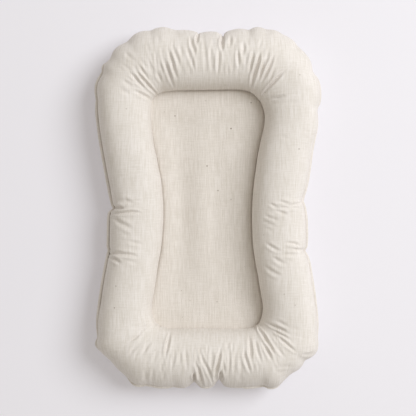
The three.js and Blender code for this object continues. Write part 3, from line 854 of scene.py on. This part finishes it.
def seamed_cloth(places, growth):
    """A cloth held at its first and last row, whose columns may grow, and its vertices' rows and columns."""
    rows, columns = places.shape[:2]
    row_numbers = np.arange(rows)[:, None]
    cells = np.stack(np.broadcast_arrays(np.arange(columns), row_numbers, 0), -1).astype(float)
    piece = new_piece("gathered_cloth", grid_mesh("gathered_cloth", places, cells))
    stored = np.empty(len(piece.data.vertices) * 3, np.float32)
    piece.data.attributes["cloth"].data.foreach_get("vector", stored)
    column, row = np.rint(stored.reshape(-1, 3)[:, :2]).astype(int).T
    held = piece.vertex_groups.new(name="held")
    grown = piece.vertex_groups.new(name="grown")
    for vertex in range(len(row)):
        held.add([vertex], float(row[vertex] in (0, rows - 1)), "REPLACE")
        grown.add([vertex], float(growth[column[vertex]]), "REPLACE")
    return piece, row, column


def gathered_wrinkles():
    """How far the top panel, which is sewn fuller than its seams, stands out once it is blown up."""
    shape = (WRINKLE_ROWS + 1, WRINKLE_COLUMNS + 1)
    distance = np.linspace(0, line.length, WRINKLE_COLUMNS + 1)
    angles = np.linspace(INNER_SEAM_ANGLE, 0, WRINKLE_ROWS + 1)[:, None]
    places = cover_points(np.broadcast_to(distance, shape), np.broadcast_to(angles, shape))
    _, out = line.at(distance)
    at_ends = smooth(END_GROWTH_SPREAD * (1 - np.abs(out[:, 0]) ** END_GROWTH_POWER))
    piece, row, column = seamed_cloth(places, SIDE_GROWTH_SHARE + (1 - SIDE_GROWTH_SHARE) * at_ends)
    cloth = piece.modifiers.new("gathering", "CLOTH")
    cloth.settings.quality = 8
    cloth.settings.mass = 0.25
    cloth.settings.tension_stiffness = cloth.settings.compression_stiffness = 60
    cloth.settings.shear_stiffness = 15
    cloth.settings.bending_stiffness = 0.25
    cloth.settings.vertex_group_mass = "held"
    cloth.settings.vertex_group_shrink = "grown"
    cloth.settings.shrink_min = 0
    cloth.settings.shrink_max = -CLOTH_GROWTH
    cloth.settings.use_pressure = True
    cloth.settings.uniform_pressure_force = 4
    cloth.settings.effector_weights.gravity = 0
    before = coordinates(piece.data)
    normals = normals_of(piece.data)
    scene = bpy.context.scene
    for frame_number in range(1, GATHERING_FRAMES + 1):
        scene.frame_set(frame_number)
    blown = piece.evaluated_get(bpy.context.evaluated_depsgraph_get()).to_mesh()
    moved = ((coordinates(blown) - before) * normals).sum(1)
    bpy.data.objects.remove(piece)
    scene.frame_set(1)
    heights = np.zeros(shape)
    heights[row, column] = moved
    heights[:, -1] = heights[:, 0]
    return heights


def only_wrinkles(heights):
    """The heights less their average over a wide patch, capped."""
    wide = heights[:, :-1]
    for axis, cells in ((1, PATCH_COLUMNS), (0, PATCH_ROWS)):
        side = cells // 2
        padding = ((0, 0), (side, side)) if axis else ((side, side), (0, 0))
        padded = np.pad(wide, padding, "wrap" if axis else "edge")
        rows, columns = wide.shape
        wide = sum(np.roll(padded, -k, axis)[:rows, :columns] for k in range(cells)) / cells
    wide = np.concatenate([wide, wide[:, :1]], 1)
    return WRINKLE_CAP * np.tanh((heights - wide) / WRINKLE_CAP)


def wrinkle_heights(distance, angle):
    """How far the gathered cloth stands out at distances along the ring and angles round the section."""
    if wrinkles is None:
        return np.zeros(distance.shape)
    u = np.mod(distance, line.length) / line.length * WRINKLE_COLUMNS
    v = np.clip((INNER_SEAM_ANGLE - angle) / INNER_SEAM_ANGLE, 0, 1) * WRINKLE_ROWS
    i = np.minimum(v.astype(int), WRINKLE_ROWS - 1)
    j = np.minimum(u.astype(int), WRINKLE_COLUMNS - 1)
    v, u = v - i, u - j
    first = wrinkles[i, j] * (1 - u) + wrinkles[i, j + 1] * u
    second = wrinkles[i + 1, j] * (1 - u) + wrinkles[i + 1, j + 1] * u
    return first * (1 - v) + second * v


def fold_cover(mesh, folds):
    """Sinks a panel's folds into its mesh, square to its surface."""
    co = coordinates(mesh)
    above_foot = co[:, 2] - FOLD_FOOT_SHARE * OUTER_SEAM_HEIGHT
    depth = fold_depths(as_seen(co), folds) * smooth(above_foot / (FOLD_FOOT_RUN_SHARE * OUTER_SEAM_HEIGHT))
    set_coordinates(mesh, co - normals_of(mesh) * depth[:, None])


wrinkles = None
wrinkles = only_wrinkles(gathered_wrinkles())


def make_cover():
    columns = column_places(COLUMNS)
    top_shares = row_shares(TOP_ROWS, INNER_SEAM_ANGLE * SIDE_BOLSTER / 2)
    under_shares = row_shares(UNDER_ROWS, (2 * math.pi - INNER_SEAM_ANGLE) * SIDE_BOLSTER / 2)
    top_angles, under_angles = cover_angles(columns, top_shares, under_shares)
    grids = []
    for name, angles in (("cover_top", top_angles), ("cover_under", under_angles)):
        distance = np.broadcast_to(columns, angles.shape)
        places = cover_points(distance, angles)
        cloth = flat_cloth(distance, angles)
        grids.append(new_piece(name, grid_mesh(name, places, cloth)))
    top, under = grids
    folds = photographed_folds(HEAD_FOLDS_PX + FOOT_FOLDS_PX + WAIST_FOLDS_PX) + small_gathers()
    fold_cover(subdivided(top), folds)
    subdivided(under)
    for panel in grids:
        thicken(panel, COTTON_THICKNESS)
    return top, under


# Welt, threads and fibre


def seam_frame(distance):
    """Places in the outer seam's ditch and under the welt's edge, and how high the lip is there."""
    base = cover_points(distance, seam_angle(distance))
    point, out = line.at(distance)
    shown = welt_shown(distance)
    hidden = WELT_HIDDEN * smooth(1 - 2 * shown)
    reach = round_ring(outline_reach, distance) + WELT_OVERHANG * shown - hidden
    edge = np.concatenate([point + out * reach[..., None], base[..., 2:]], -1)
    edge[..., 2] += WELT_SWAY * sway(distance, WELT_WAVES, seed=8)
    return base, edge, WELT_LIP * smooth(shown / WELT_FULL_SHARE)


def make_welt():
    """The welt, a fold of cotton that rises behind a groove of the cover and droops at its outer edge."""
    distance = column_places(WELT_COLUMNS)
    base, edge, lip = seam_frame(distance)
    droop = WELT_DROOP * welt_shown(distance)[:, None]
    outward = np.concatenate([line.at(distance)[1], np.zeros((len(distance), 1))], -1)
    upward = np.array([0, 0, 1])
    at_root = upward * WELT_ROOT_SHARE * WELT_THICKNESS
    at_flank = upward * WELT_FLANK_SHARE * WELT_THICKNESS
    root = base - outward * WELT_ROOT
    places = [root + at_root, base + at_flank, edge - outward * WELT_WIDTH + at_flank]
    for turn in np.linspace(math.pi, 0, WELT_TURNS):
        ahead = outward * (math.cos(turn) - 1) * WELT_WIDTH / 2
        bulge = (WELT_BULGE_SHARE + math.sin(turn) / 2) * WELT_THICKNESS
        fall = droop * (1 - math.sin(turn)) * (math.cos(turn) > 0)
        places.append(edge + ahead + upward * (bulge + lip[:, None] - fall))
    under_edge = edge - outward * WELT_FLANK_SHARE * WELT_THICKNESS
    places += [under_edge - at_flank, base - at_flank, root - at_root, places[0]]
    return new_piece("welt", grid_mesh("welt", np.array(places), np.array(places)))


def tube_places(path, radius, sides, closed):
    """Points of a tube along a path, as rows round it and columns along it."""
    ahead = np.roll(path, -1, 0) - np.roll(path, 1, 0)
    if not closed:
        ahead[0], ahead[-1] = path[1] - path[0], path[-1] - path[-2]
    ahead /= np.linalg.norm(ahead, axis=1)[:, None]
    side = np.cross(ahead, (0, 0, 1))
    side /= np.linalg.norm(side, axis=1)[:, None]
    up = np.cross(side, ahead)
    turns = np.linspace(0, 2 * math.pi, sides + 1)
    rows = np.array([path + (side * math.cos(turn) + up * math.sin(turn)) * radius for turn in turns])
    if closed:
        return rows
    ends = [np.broadcast_to(path[i], (sides + 1, 1, 3)) for i in (0, -1)]
    return np.concatenate([ends[0], rows, ends[1]], 1)


def make_thread(name, path, diameter, closed):
    places = tube_places(path, diameter / 2, THREAD_SIDES, closed)
    return new_piece(name, grid_mesh(name, places, places))


def outward_of(base, edge):
    """Directions from the ditch of the outer seam to the edge of its welt."""
    return (edge - base) / np.linalg.norm(edge - base, axis=1)[:, None]


def stitch_waves():
    """Distances round the whole ring, and the rise and fall of a row of stitches there."""
    stitches = round(line.length / STITCH)
    distance = np.linspace(0, line.length, stitches * STITCH_POINTS + 1)
    return distance, np.sin(distance / line.length * stitches * 2 * math.pi)


def closed_thread(name, path):
    return make_thread(name, np.concatenate([path[:-1], path[:1]]), THREAD, True)


def make_outer_stitching():
    distance, wave = stitch_waves()
    base, edge, _ = seam_frame(distance)
    path = base - outward_of(base, edge) * STITCH_SETBACK
    path[:, 2] += WELT_THICKNESS / 2 + THREAD / 2 + OUTER_STITCH_RISE * wave
    return closed_thread("outer_seam_stitching", path)


def make_inner_stitching():
    distance, wave = stitch_waves()
    _, out = line.at(distance)
    path = section(distance, np.full_like(distance, INNER_SEAM_ANGLE))
    path[:, :2] += out * STITCH_SETBACK
    path[:, 2] = INNER_SEAM_HEIGHT + INNER_STITCH_LIFT + INNER_STITCH_RISE * wave
    return closed_thread("inner_seam_stitching", path)


# The two ends of each closed opening
CLOSINGS_PX = {
    "head": ((198.8, 33.7), (223.6, 36)),
    "right": ((304, 202.5), (304, 249)),
    "foot": ((218.7, 380), (194.2, 382)),
    "left": ((109, 254), (113, 208.5)),
}


def make_closing(name, first, last):
    """The thread that closes a stuffing opening, whipped over its two edges."""
    start, end = (line.nearest(at_pixel(*place)) for place in (first, last))
    end += line.length if end < start else 0
    start, end = start + CLOSING_END, end - CLOSING_END
    stitches = round((end - start) / CLOSING_STITCH)
    distance = np.linspace(start, end, stitches * CLOSING_POINTS + 1)
    base, edge, _ = seam_frame(distance)
    turn = np.linspace(0, 2 * math.pi * stitches, len(distance))
    reach = CLOSING_REACH + CLOSING_SWING * np.sin(turn)
    path = base + outward_of(base, edge) * reach[:, None]
    path[:, 2] += WELT_THICKNESS / 2 + CLOSING_LIFT + CLOSING_RISE * np.cos(turn)
    return make_thread(f"{name}_slip_stitches", path, CLOSING_THREAD, False)


def make_fibre(name, start, end):
    """A mass of fibre between two places of the ring, lumpy, with rounded ends."""
    random = np.random.default_rng(sum(map(ord, name)))
    distance = np.linspace(start, end, FIBRE_COLUMNS)
    distances, angles = np.meshgrid(distance, np.linspace(0, 2 * math.pi, FIBRE_ROWS))
    sunk = np.full_like(distances, FIBRE_ROOM)
    for _ in range(LUMPS):
        place, angle = random.uniform(start, end), random.uniform(0, 2 * math.pi)
        size = random.uniform(*LUMP_SIZES)
        turn = np.abs(np.mod(angles - angle + math.pi, 2 * math.pi) - math.pi) * (SIDE_BOLSTER / 2)
        sunk += random.uniform(*LUMP_DEPTHS) * np.exp(-(((distances - place) ** 2 + turn**2) / size**2))
    middle = section(distance, np.full_like(distance, math.pi / 2), SIDE_CROWN / 2)
    from_end = np.minimum(distance - start, end - distance) / FIBRE_END
    fullness = np.sqrt(1 - (1 - np.clip(from_end, 0, 1)) ** 2)
    places = middle + (section(distances, angles, sunk) - middle) * fullness[:, None]
    return new_piece(f"{name}_fibre", grid_mesh(f"{name}_fibre", places[::-1], places[::-1]))


# The sling


def sling_grid():
    """The sling's rows of points in plan, from its allowance in to its spine, and the line of its seam."""
    distance = np.linspace(0, line.length, SLING_COLUMNS + 1)
    seam = section(line.distances, np.full_like(line.distances, INNER_SEAM_ANGLE))
    seam = np.stack([round_ring(eased_round(seam[:, i], SLING_EASE), distance) for i in (0, 1)], 1)
    _, out = line.at(distance)
    up_spine = np.abs(1 - 2 * distance / line.length) * 2 - 1
    spine = np.stack([np.zeros_like(up_spine), up_spine * SLING_SPINE], 1)
    across = np.linalg.norm(spine - seam, axis=1)[:, None]
    rows = [seam + out * SLING_ALLOWANCE, seam + out * SLING_ALLOWANCE / 2]
    rows += [seam + (spine - seam) * run / across for run in SLING_RIM_ROWS]
    last = rows[-1]
    shares = np.linspace(0, 1, SLING_ROWS + 1)[1:] ** SLING_ROW_POWER
    rows += [last + (spine - last) * share for share in shares]
    return np.array(rows), seam


def sling_waves(x, y, from_side, from_end):
    """How far the sling rises or falls in its broad waves and its ripple."""
    wave_x, wave_y = at_pixel(*SLING_WAVE_PX)
    wave = np.cos(2 * math.pi * (x - wave_x - SLING_WAVE_LEAN * (y - wave_y)) / SLING_WAVE)
    wave *= np.exp(-(((y - wave_y) / SLING_WAVE_LENGTH) ** 2)) * smooth(from_side / SLING_WAVE_EASE)
    wave *= 1 - SLING_WAVE_LOSS_SHARE * smooth((x - wave_x - SLING_WAVE / 4) / SLING_WAVE_LOSS_RUN)
    bend = RIPPLE_BEND * np.sin(y / RIPPLE_BEND_LENGTH + RIPPLE_STARTS[1])
    bent_x = x / RIPPLE_ACROSS + RIPPLE_STARTS[0] + bend
    ripple = np.sin(bent_x) + np.sin(y / RIPPLE_ALONG + x / RIPPLE_LEAN)
    ripple *= smooth(from_side / SLING_RIPPLE_EASE) * smooth(from_end / SLING_RIPPLE_EASE)
    return SLING_WAVE_RISE * wave + SLING_RIPPLE / 2 * ripple


def make_sling(name, height):
    """One layer of the sling, from its seam allowance, through the crevice, to its middle."""
    plan, seam = sling_grid()
    x, y = plan[..., 0], plan[..., 1]
    from_seam = np.array([np.linalg.norm(row[:, None] - seam, axis=-1).min(1) for row in plan])
    from_seam[:2] = 0
    side = seam[seam[:, 0] > SLING_SIDE_SHARE * seam[:, 0].max()]
    side = side[np.argsort(side[:, 1])]
    from_side = np.interp(y, side[:, 1], side[:, 0]) - np.abs(x)
    from_end = np.minimum(seam[:, 1].max() - y, y - seam[:, 1].min())
    sag = SLING_SAG * smooth((from_side - SLING_RIM) / SLING_SIDE_RUN)
    sag *= smooth((from_end - SLING_RIM) / SLING_END_RUN)
    dip = round_ring(crevice_share, np.linspace(0, line.length, SLING_COLUMNS + 1))
    rise = SLING_RISE * (1 - dip * np.exp(-((from_seam / SLING_ROLL) ** 2)))
    z = height - sag + rise + sling_waves(x, y, from_side, from_end)
    places = np.concatenate([plan, z[..., None]], -1)
    flat = np.concatenate([plan, np.zeros_like(places[..., 2:])], -1)
    piece = new_piece(name, grid_mesh(name, places, flat))
    thicken(piece, COTTON_THICKNESS)
    return piece, places


# Materials


class Socket:
    """A value, vector or colour in a material's nodes. Arithmetic on it adds Math nodes."""

    def __init__(self, finish, socket):
        self.finish, self.socket = finish, socket

    def math(self, operation, *others):
        return self.finish.node("ShaderNodeMath", {"operation": operation}, dict(enumerate((self, *others))))

    def __add__(self, other):
        return self.math("ADD", other)

    def __sub__(self, other):
        return self.math("SUBTRACT", other)

    def __mul__(self, other):
        return self.math("MULTIPLY", other)

    def __truediv__(self, other):
        return self.math("DIVIDE", other)

    def __rsub__(self, other):
        return self.finish.node("ShaderNodeMath", {"operation": "SUBTRACT"}, {0: other, 1: self})

    __radd__ = __add__
    __rmul__ = __mul__


class Finish:
    """A material and its nodes."""

    def __init__(self, name):
        self.material = bpy.data.materials.new(name)
        self.material.use_nodes = True
        self.tree = self.material.node_tree
        self.shader = self.tree.nodes["Principled BSDF"]

    def node(self, kind, settings, sockets, output=0):
        """Adds a node: first its settings, then the values or links of its sockets."""
        made = self.tree.nodes.new(kind)
        for name, value in settings.items():
            setattr(made, name, value)
        for name, value in sockets.items():
            self.join(made.inputs[name], value)
        return Socket(self, made.outputs[output])

    def join(self, target, value):
        if isinstance(value, Socket):
            self.tree.links.new(value.socket, target)
        else:
            target.default_value = value

    def feed(self, name, value):
        self.join(self.shader.inputs[name], value)

    def attribute(self, name):
        return self.node("ShaderNodeAttribute", {"attribute_name": name}, {}, "Vector")

    def scaled(self, vector, sizes):
        return self.node("ShaderNodeVectorMath", {"operation": "DIVIDE"}, {0: vector, 1: sizes})

    def noise(self, vector, sizes, detail, roughness=0.5):
        """Noise whose blotches have these sizes along X, Y and Z, in metres."""
        place = self.scaled(vector, sizes)
        sockets = {"Vector": place, "Scale": 1, "Detail": detail, "Roughness": roughness}
        return self.node("ShaderNodeTexNoise", {}, sockets, "Fac")

    def ramp(self, value, low, high):
        """0 below low, 1 above high, smooth between."""
        settings = {"interpolation_type": "SMOOTHSTEP"}
        return self.node("ShaderNodeMapRange", settings, {"Value": value, "From Min": low, "From Max": high})

    def blend(self, factor, first, second):
        settings = {"data_type": "RGBA"}
        return self.node("ShaderNodeMix", settings, {0: factor, 6: first, 7: second}, 2)

    def bump(self, height, distance):
        sockets = {"Height": height, "Distance": distance, "Strength": 1}
        return self.node("ShaderNodeBump", {}, sockets, "Normal")


def colour(red, green, blue):
    """A colour written as the screen shows it, from 0 to 255."""
    shown = (red / 255, green / 255, blue / 255)
    linear = [c / 12.92 if c <= 0.04045 else ((c + 0.055) / 1.055) ** 2.4 for c in shown]
    return (*linear, 1)


COTTON_PALE = colour(236, 231, 227)
COTTON_DEEP = colour(219, 213, 205)
# The sling's cotton is the cover's cotton painted a little darker and yellower: painted shade for the sling
# lying low in the nest
SHADED_SLING_PALE = colour(231, 225, 219)
SHADED_SLING_DEEP = colour(214, 207, 198)
FLECK = colour(122, 104, 84)
FIBRE_PALE = colour(245, 244, 240)
FIBRE_DEEP = colour(228, 227, 222)
THREAD_PALE = colour(232, 225, 212)
THREAD_DEEP = colour(216, 207, 192)

# The cotton's yarn, its slubs along and across the grain, its broad shades, its relief and its seed flecks
YARN = 0.85 * MM
SLUB_WIDTH = 1.8 * MM
WARP_SLUB = 34 * MM
WEFT_SLUB = 26 * MM
BROAD_WARP = (5 * MM, 70 * MM, 1)
MOTTLE = 38 * MM
COTTON_RELIEF = 0.16 * MM
TONE_RANGE = (0.375, 0.625)
FLECK_CELL = 26 * MM
SMALL_FLECK_SHARES = (0.014, 0.034)
FLECK_SHADE_SHARE = 0.75
FLECK_CORE = 0.6 * MM
FLECK_RIM = 2.1 * MM
COVER_FLECK_HEIGHT = 0.95 * SIDE_CROWN

# The thread's twist, and the fibre's tufts and hairs
TWIST = 0.6 * MM
THREAD_RELIEF = 0.2 * MM
TUFT = 12 * MM
HAIR_WIDTH = 1.2 * MM
HAIR_LENGTH = 5 * MM
FIBRE_RELIEF = 2 * MM

# Seed flecks at pixels of the photograph, with how strongly each one shows
SLING_FLECKS_PX = [
    (175, 116, 0.8), (231, 128.6, 1.3), (205.6, 101, 0.35), (207, 166, 1.1), (218, 190.5, 0.8),
    (231, 199.5, 0.5), (217, 301.6, 0.5), (190, 300.5, 0.3), (251, 103, 0.8),
]
COVER_FLECKS_PX = [
    (114.6, 307.7, 0.8), (116, 286, 0.6), (299.7, 75, 0.45), (126.5, 109, 0.4), (299, 149, 0.7),
    (295, 305, 0.4), (284, 294, 0.4),
]


def photographed_flecks(finish, flecks_px, height):
    """Seed flecks where the photograph shows them, on cloth at about this height, as masks."""
    aim = at_pixel(*CAMERA_AIM_PX)
    nearer = (CAMERA_RISE + OUTER_SEAM_HEIGHT - height) / CAMERA_RISE
    place = finish.node("ShaderNodeTexCoord", {}, {}, "Object")
    plan = finish.node("ShaderNodeVectorMath", {"operation": "MULTIPLY"}, {0: place, 1: (1, 1, 0)})
    for x, y, strength in flecks_px:
        spot = (*(aim + (at_pixel(x, y) - aim) * nearer), 0)
        away = finish.node("ShaderNodeVectorMath", {"operation": "DISTANCE"}, {0: plan, 1: spot}, "Value")
        yield (1 - finish.ramp(away, FLECK_CORE, FLECK_RIM)) * strength


def cotton(name, pale, deep, flecks_px=(), fleck_height=0):
    """Unbleached plain-weave cotton, with slubs along and across the grain, seed flecks and a weave."""
    finish = Finish(name)
    cloth = finish.attribute("cloth")
    warp = finish.noise(cloth, (SLUB_WIDTH, WARP_SLUB, 1), 3, 0.65)
    weft = finish.noise(cloth, (WEFT_SLUB, SLUB_WIDTH, 1), 3, 0.65)
    broad_warp = finish.noise(cloth, BROAD_WARP, 2)
    mottle = finish.noise(cloth, (MOTTLE, MOTTLE, 1), 4)
    tone = (warp * 1.4 + weft * 0.75 + broad_warp * 0.4 + mottle * 0.25) / 2.8
    base = finish.blend(finish.ramp(tone, *TONE_RANGE), deep, pale)
    in_cells = {"Vector": finish.scaled(cloth, (FLECK_CELL, FLECK_CELL, 1)), "Scale": 1}
    from_seed = finish.node("ShaderNodeTexVoronoi", {"feature": "F1"}, in_cells)
    fleck = 1 - finish.ramp(from_seed, *SMALL_FLECK_SHARES)
    photographed = photographed_flecks(finish, flecks_px, fleck_height) if flecks_px else ()
    for spot in photographed:
        fleck = fleck.math("MAXIMUM", spot)
    finish.feed("Base Color", finish.blend(fleck * FLECK_SHADE_SHARE, base, FLECK))
    finish.feed("Roughness", 0.86 + 0.1 * mottle)
    finish.feed("Specular IOR Level", 0.25)
    finish.feed("Sheen Weight", 0.12)
    finish.feed("Sheen Roughness", 0.5)
    yarns = finish.scaled(cloth, (YARN, YARN, 1))
    across, along = (finish.node("ShaderNodeSeparateXYZ", {}, {0: yarns}, axis) for axis in "XY")
    weave = (across * math.tau).math("SINE") * (along * math.tau).math("SINE")
    relief = weave * 0.25 + warp * 1.6 + weft * 1.2 + broad_warp * 1.2
    finish.feed("Normal", finish.bump(relief, COTTON_RELIEF))
    return finish.material


def thread_finish():
    finish = Finish("cotton_thread")
    place = finish.node("ShaderNodeTexCoord", {}, {}, "Object")
    twist = finish.noise(place, (TWIST, TWIST, TWIST), 2)
    finish.feed("Base Color", finish.blend(twist, THREAD_DEEP, THREAD_PALE))
    finish.feed("Roughness", 0.65 + 0.2 * twist)
    finish.feed("Normal", finish.bump(twist, THREAD_RELIEF))
    return finish.material


def fibre_finish():
    finish = Finish("fibre")
    place = finish.node("ShaderNodeTexCoord", {}, {}, "Object")
    tufts = finish.noise(place, (TUFT, TUFT, TUFT), 5, 0.7)
    hairs = finish.noise(place, (HAIR_WIDTH, HAIR_LENGTH, HAIR_WIDTH), 4, 0.7)
    finish.feed("Base Color", finish.blend(tufts, FIBRE_DEEP, FIBRE_PALE))
    finish.feed("Roughness", 0.9 + 0.1 * hairs)
    finish.feed("Normal", finish.bump(tufts + hairs * 0.4, FIBRE_RELIEF))
    return finish.material


def floor_finish():
    finish = Finish("floor_paper")
    finish.feed("Base Color", FLOOR_COLOUR)
    finish.feed("Roughness", 0.95)
    finish.feed("Emission Color", FLOOR_GLOW)
    finish.feed("Emission Strength", 1)
    finish.feed("Specular IOR Level", 0.1)
    return finish.material


# The stage

FLOOR_COLOUR = colour(219, 218, 223)
FLOOR_GLOW = colour(109, 107, 111)
FLOOR_HALF_SIDE = 4
FLOOR_DROP = 0.3 * MM
KEY_DIRECTION = Vector((0.74, 0.36, 0.92))
KEY_DISTANCE = 5
KEY_SIZE = 3.2
KEY_POWER = 182
KEY_COLOUR = colour(250, 252, 255)
FILL_COLOUR = colour(255, 249, 238)
FILL_STRENGTH = 0.48


def make_camera():
    data = bpy.data.cameras.new("camera")
    data.lens, data.sensor_width = CAMERA_LENS, CAMERA_SENSOR
    camera = bpy.data.objects.new("camera", data)
    bpy.context.scene.collection.objects.link(camera)
    camera.location = (*at_pixel(*CAMERA_AIM_PX), OUTER_SEAM_HEIGHT + CAMERA_RISE)
    bpy.context.scene.camera = camera


def make_light():
    data = bpy.data.lights.new("key", "AREA")
    data.shape, data.size, data.energy = "DISK", KEY_SIZE, KEY_POWER
    data.color = KEY_COLOUR[:3]
    lamp = bpy.data.objects.new("key", data)
    bpy.context.scene.collection.objects.link(lamp)
    direction = KEY_DIRECTION.normalized()
    lamp.location = direction * KEY_DISTANCE
    lamp.rotation_euler = direction.to_track_quat("Z", "Y").to_euler()
    world = bpy.data.worlds.new("room")
    world.use_nodes = True
    background = world.node_tree.nodes["Background"].inputs
    background["Color"].default_value = FILL_COLOUR
    background["Strength"].default_value = FILL_STRENGTH
    bpy.context.scene.world = world


def make_floor():
    shape = bmesh.new()
    bmesh.ops.create_grid(shape, x_segments=1, y_segments=1, size=FLOOR_HALF_SIDE)
    mesh = bpy.data.meshes.new("floor")
    shape.to_mesh(mesh)
    shape.free()
    mesh.transform(Matrix.Translation((0, 0, -FLOOR_DROP)))
    mesh.materials.append(floor_finish())
    new_piece("floor", mesh)


def finish_piece(piece, material, node):
    piece.data.materials.clear()
    piece.data.materials.append(material)
    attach(piece, "root")
    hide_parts(node)


def build():
    bpy.context.scene.view_settings.view_transform = "Standard"
    make_camera()
    make_light()
    make_floor()
    cover_cotton = cotton("cover_cotton", COTTON_PALE, COTTON_DEEP, COVER_FLECKS_PX, COVER_FLECK_HEIGHT)
    # The sling's top layer gets the copy of the cotton with painted shade, plus its seed flecks
    shaded_sling_cotton = cotton("shaded_sling_cotton", SHADED_SLING_PALE, SHADED_SLING_DEEP, SLING_FLECKS_PX, INNER_SEAM_HEIGHT)
    plain_cotton = cotton("plain_cotton", COTTON_PALE, COTTON_DEEP)
    thread = thread_finish()
    fibre = fibre_finish()
    top, under = make_cover()
    finish_piece(top, cover_cotton, "bolster_top_panel")
    finish_piece(under, plain_cotton, "bolster_under_panel")
    finish_piece(make_welt(), plain_cotton, "edge_welt")
    upper, places = make_sling("sling_top", INNER_SEAM_HEIGHT + SLING_LAYER_GAP / 2 + COTTON_THICKNESS)
    lower, _ = make_sling("sling_under", INNER_SEAM_HEIGHT - SLING_LAYER_GAP / 2)
    for piece, node in ((upper, "sling_top_layer"), (lower, "sling_under_layer")):
        finish_piece(piece, shaded_sling_cotton if piece is upper else plain_cotton, node)
    finish_piece(make_outer_stitching(), thread, "outer_seam_thread")
    finish_piece(make_inner_stitching(), thread, "inner_seam_thread")
    for name, (first, last) in CLOSINGS_PX.items():
        finish_piece(make_closing(name, first, last), thread, f"{name}_closing_thread")
    turns = ((1, 1), (1, -1), (-1, -1), (-1, 1))
    corners = [line.nearest(np.array(FIBRE_CORNER) * turn) for turn in turns]
    starts = [corners[3] - line.length, *corners[:3]]
    for name, start, end in zip(("head", "right", "foot", "left"), starts, corners):
        piece = make_fibre(name, start + FIBRE_GAP, end - FIBRE_GAP)
        finish_piece(piece, fibre, f"{name}_filling")


build()
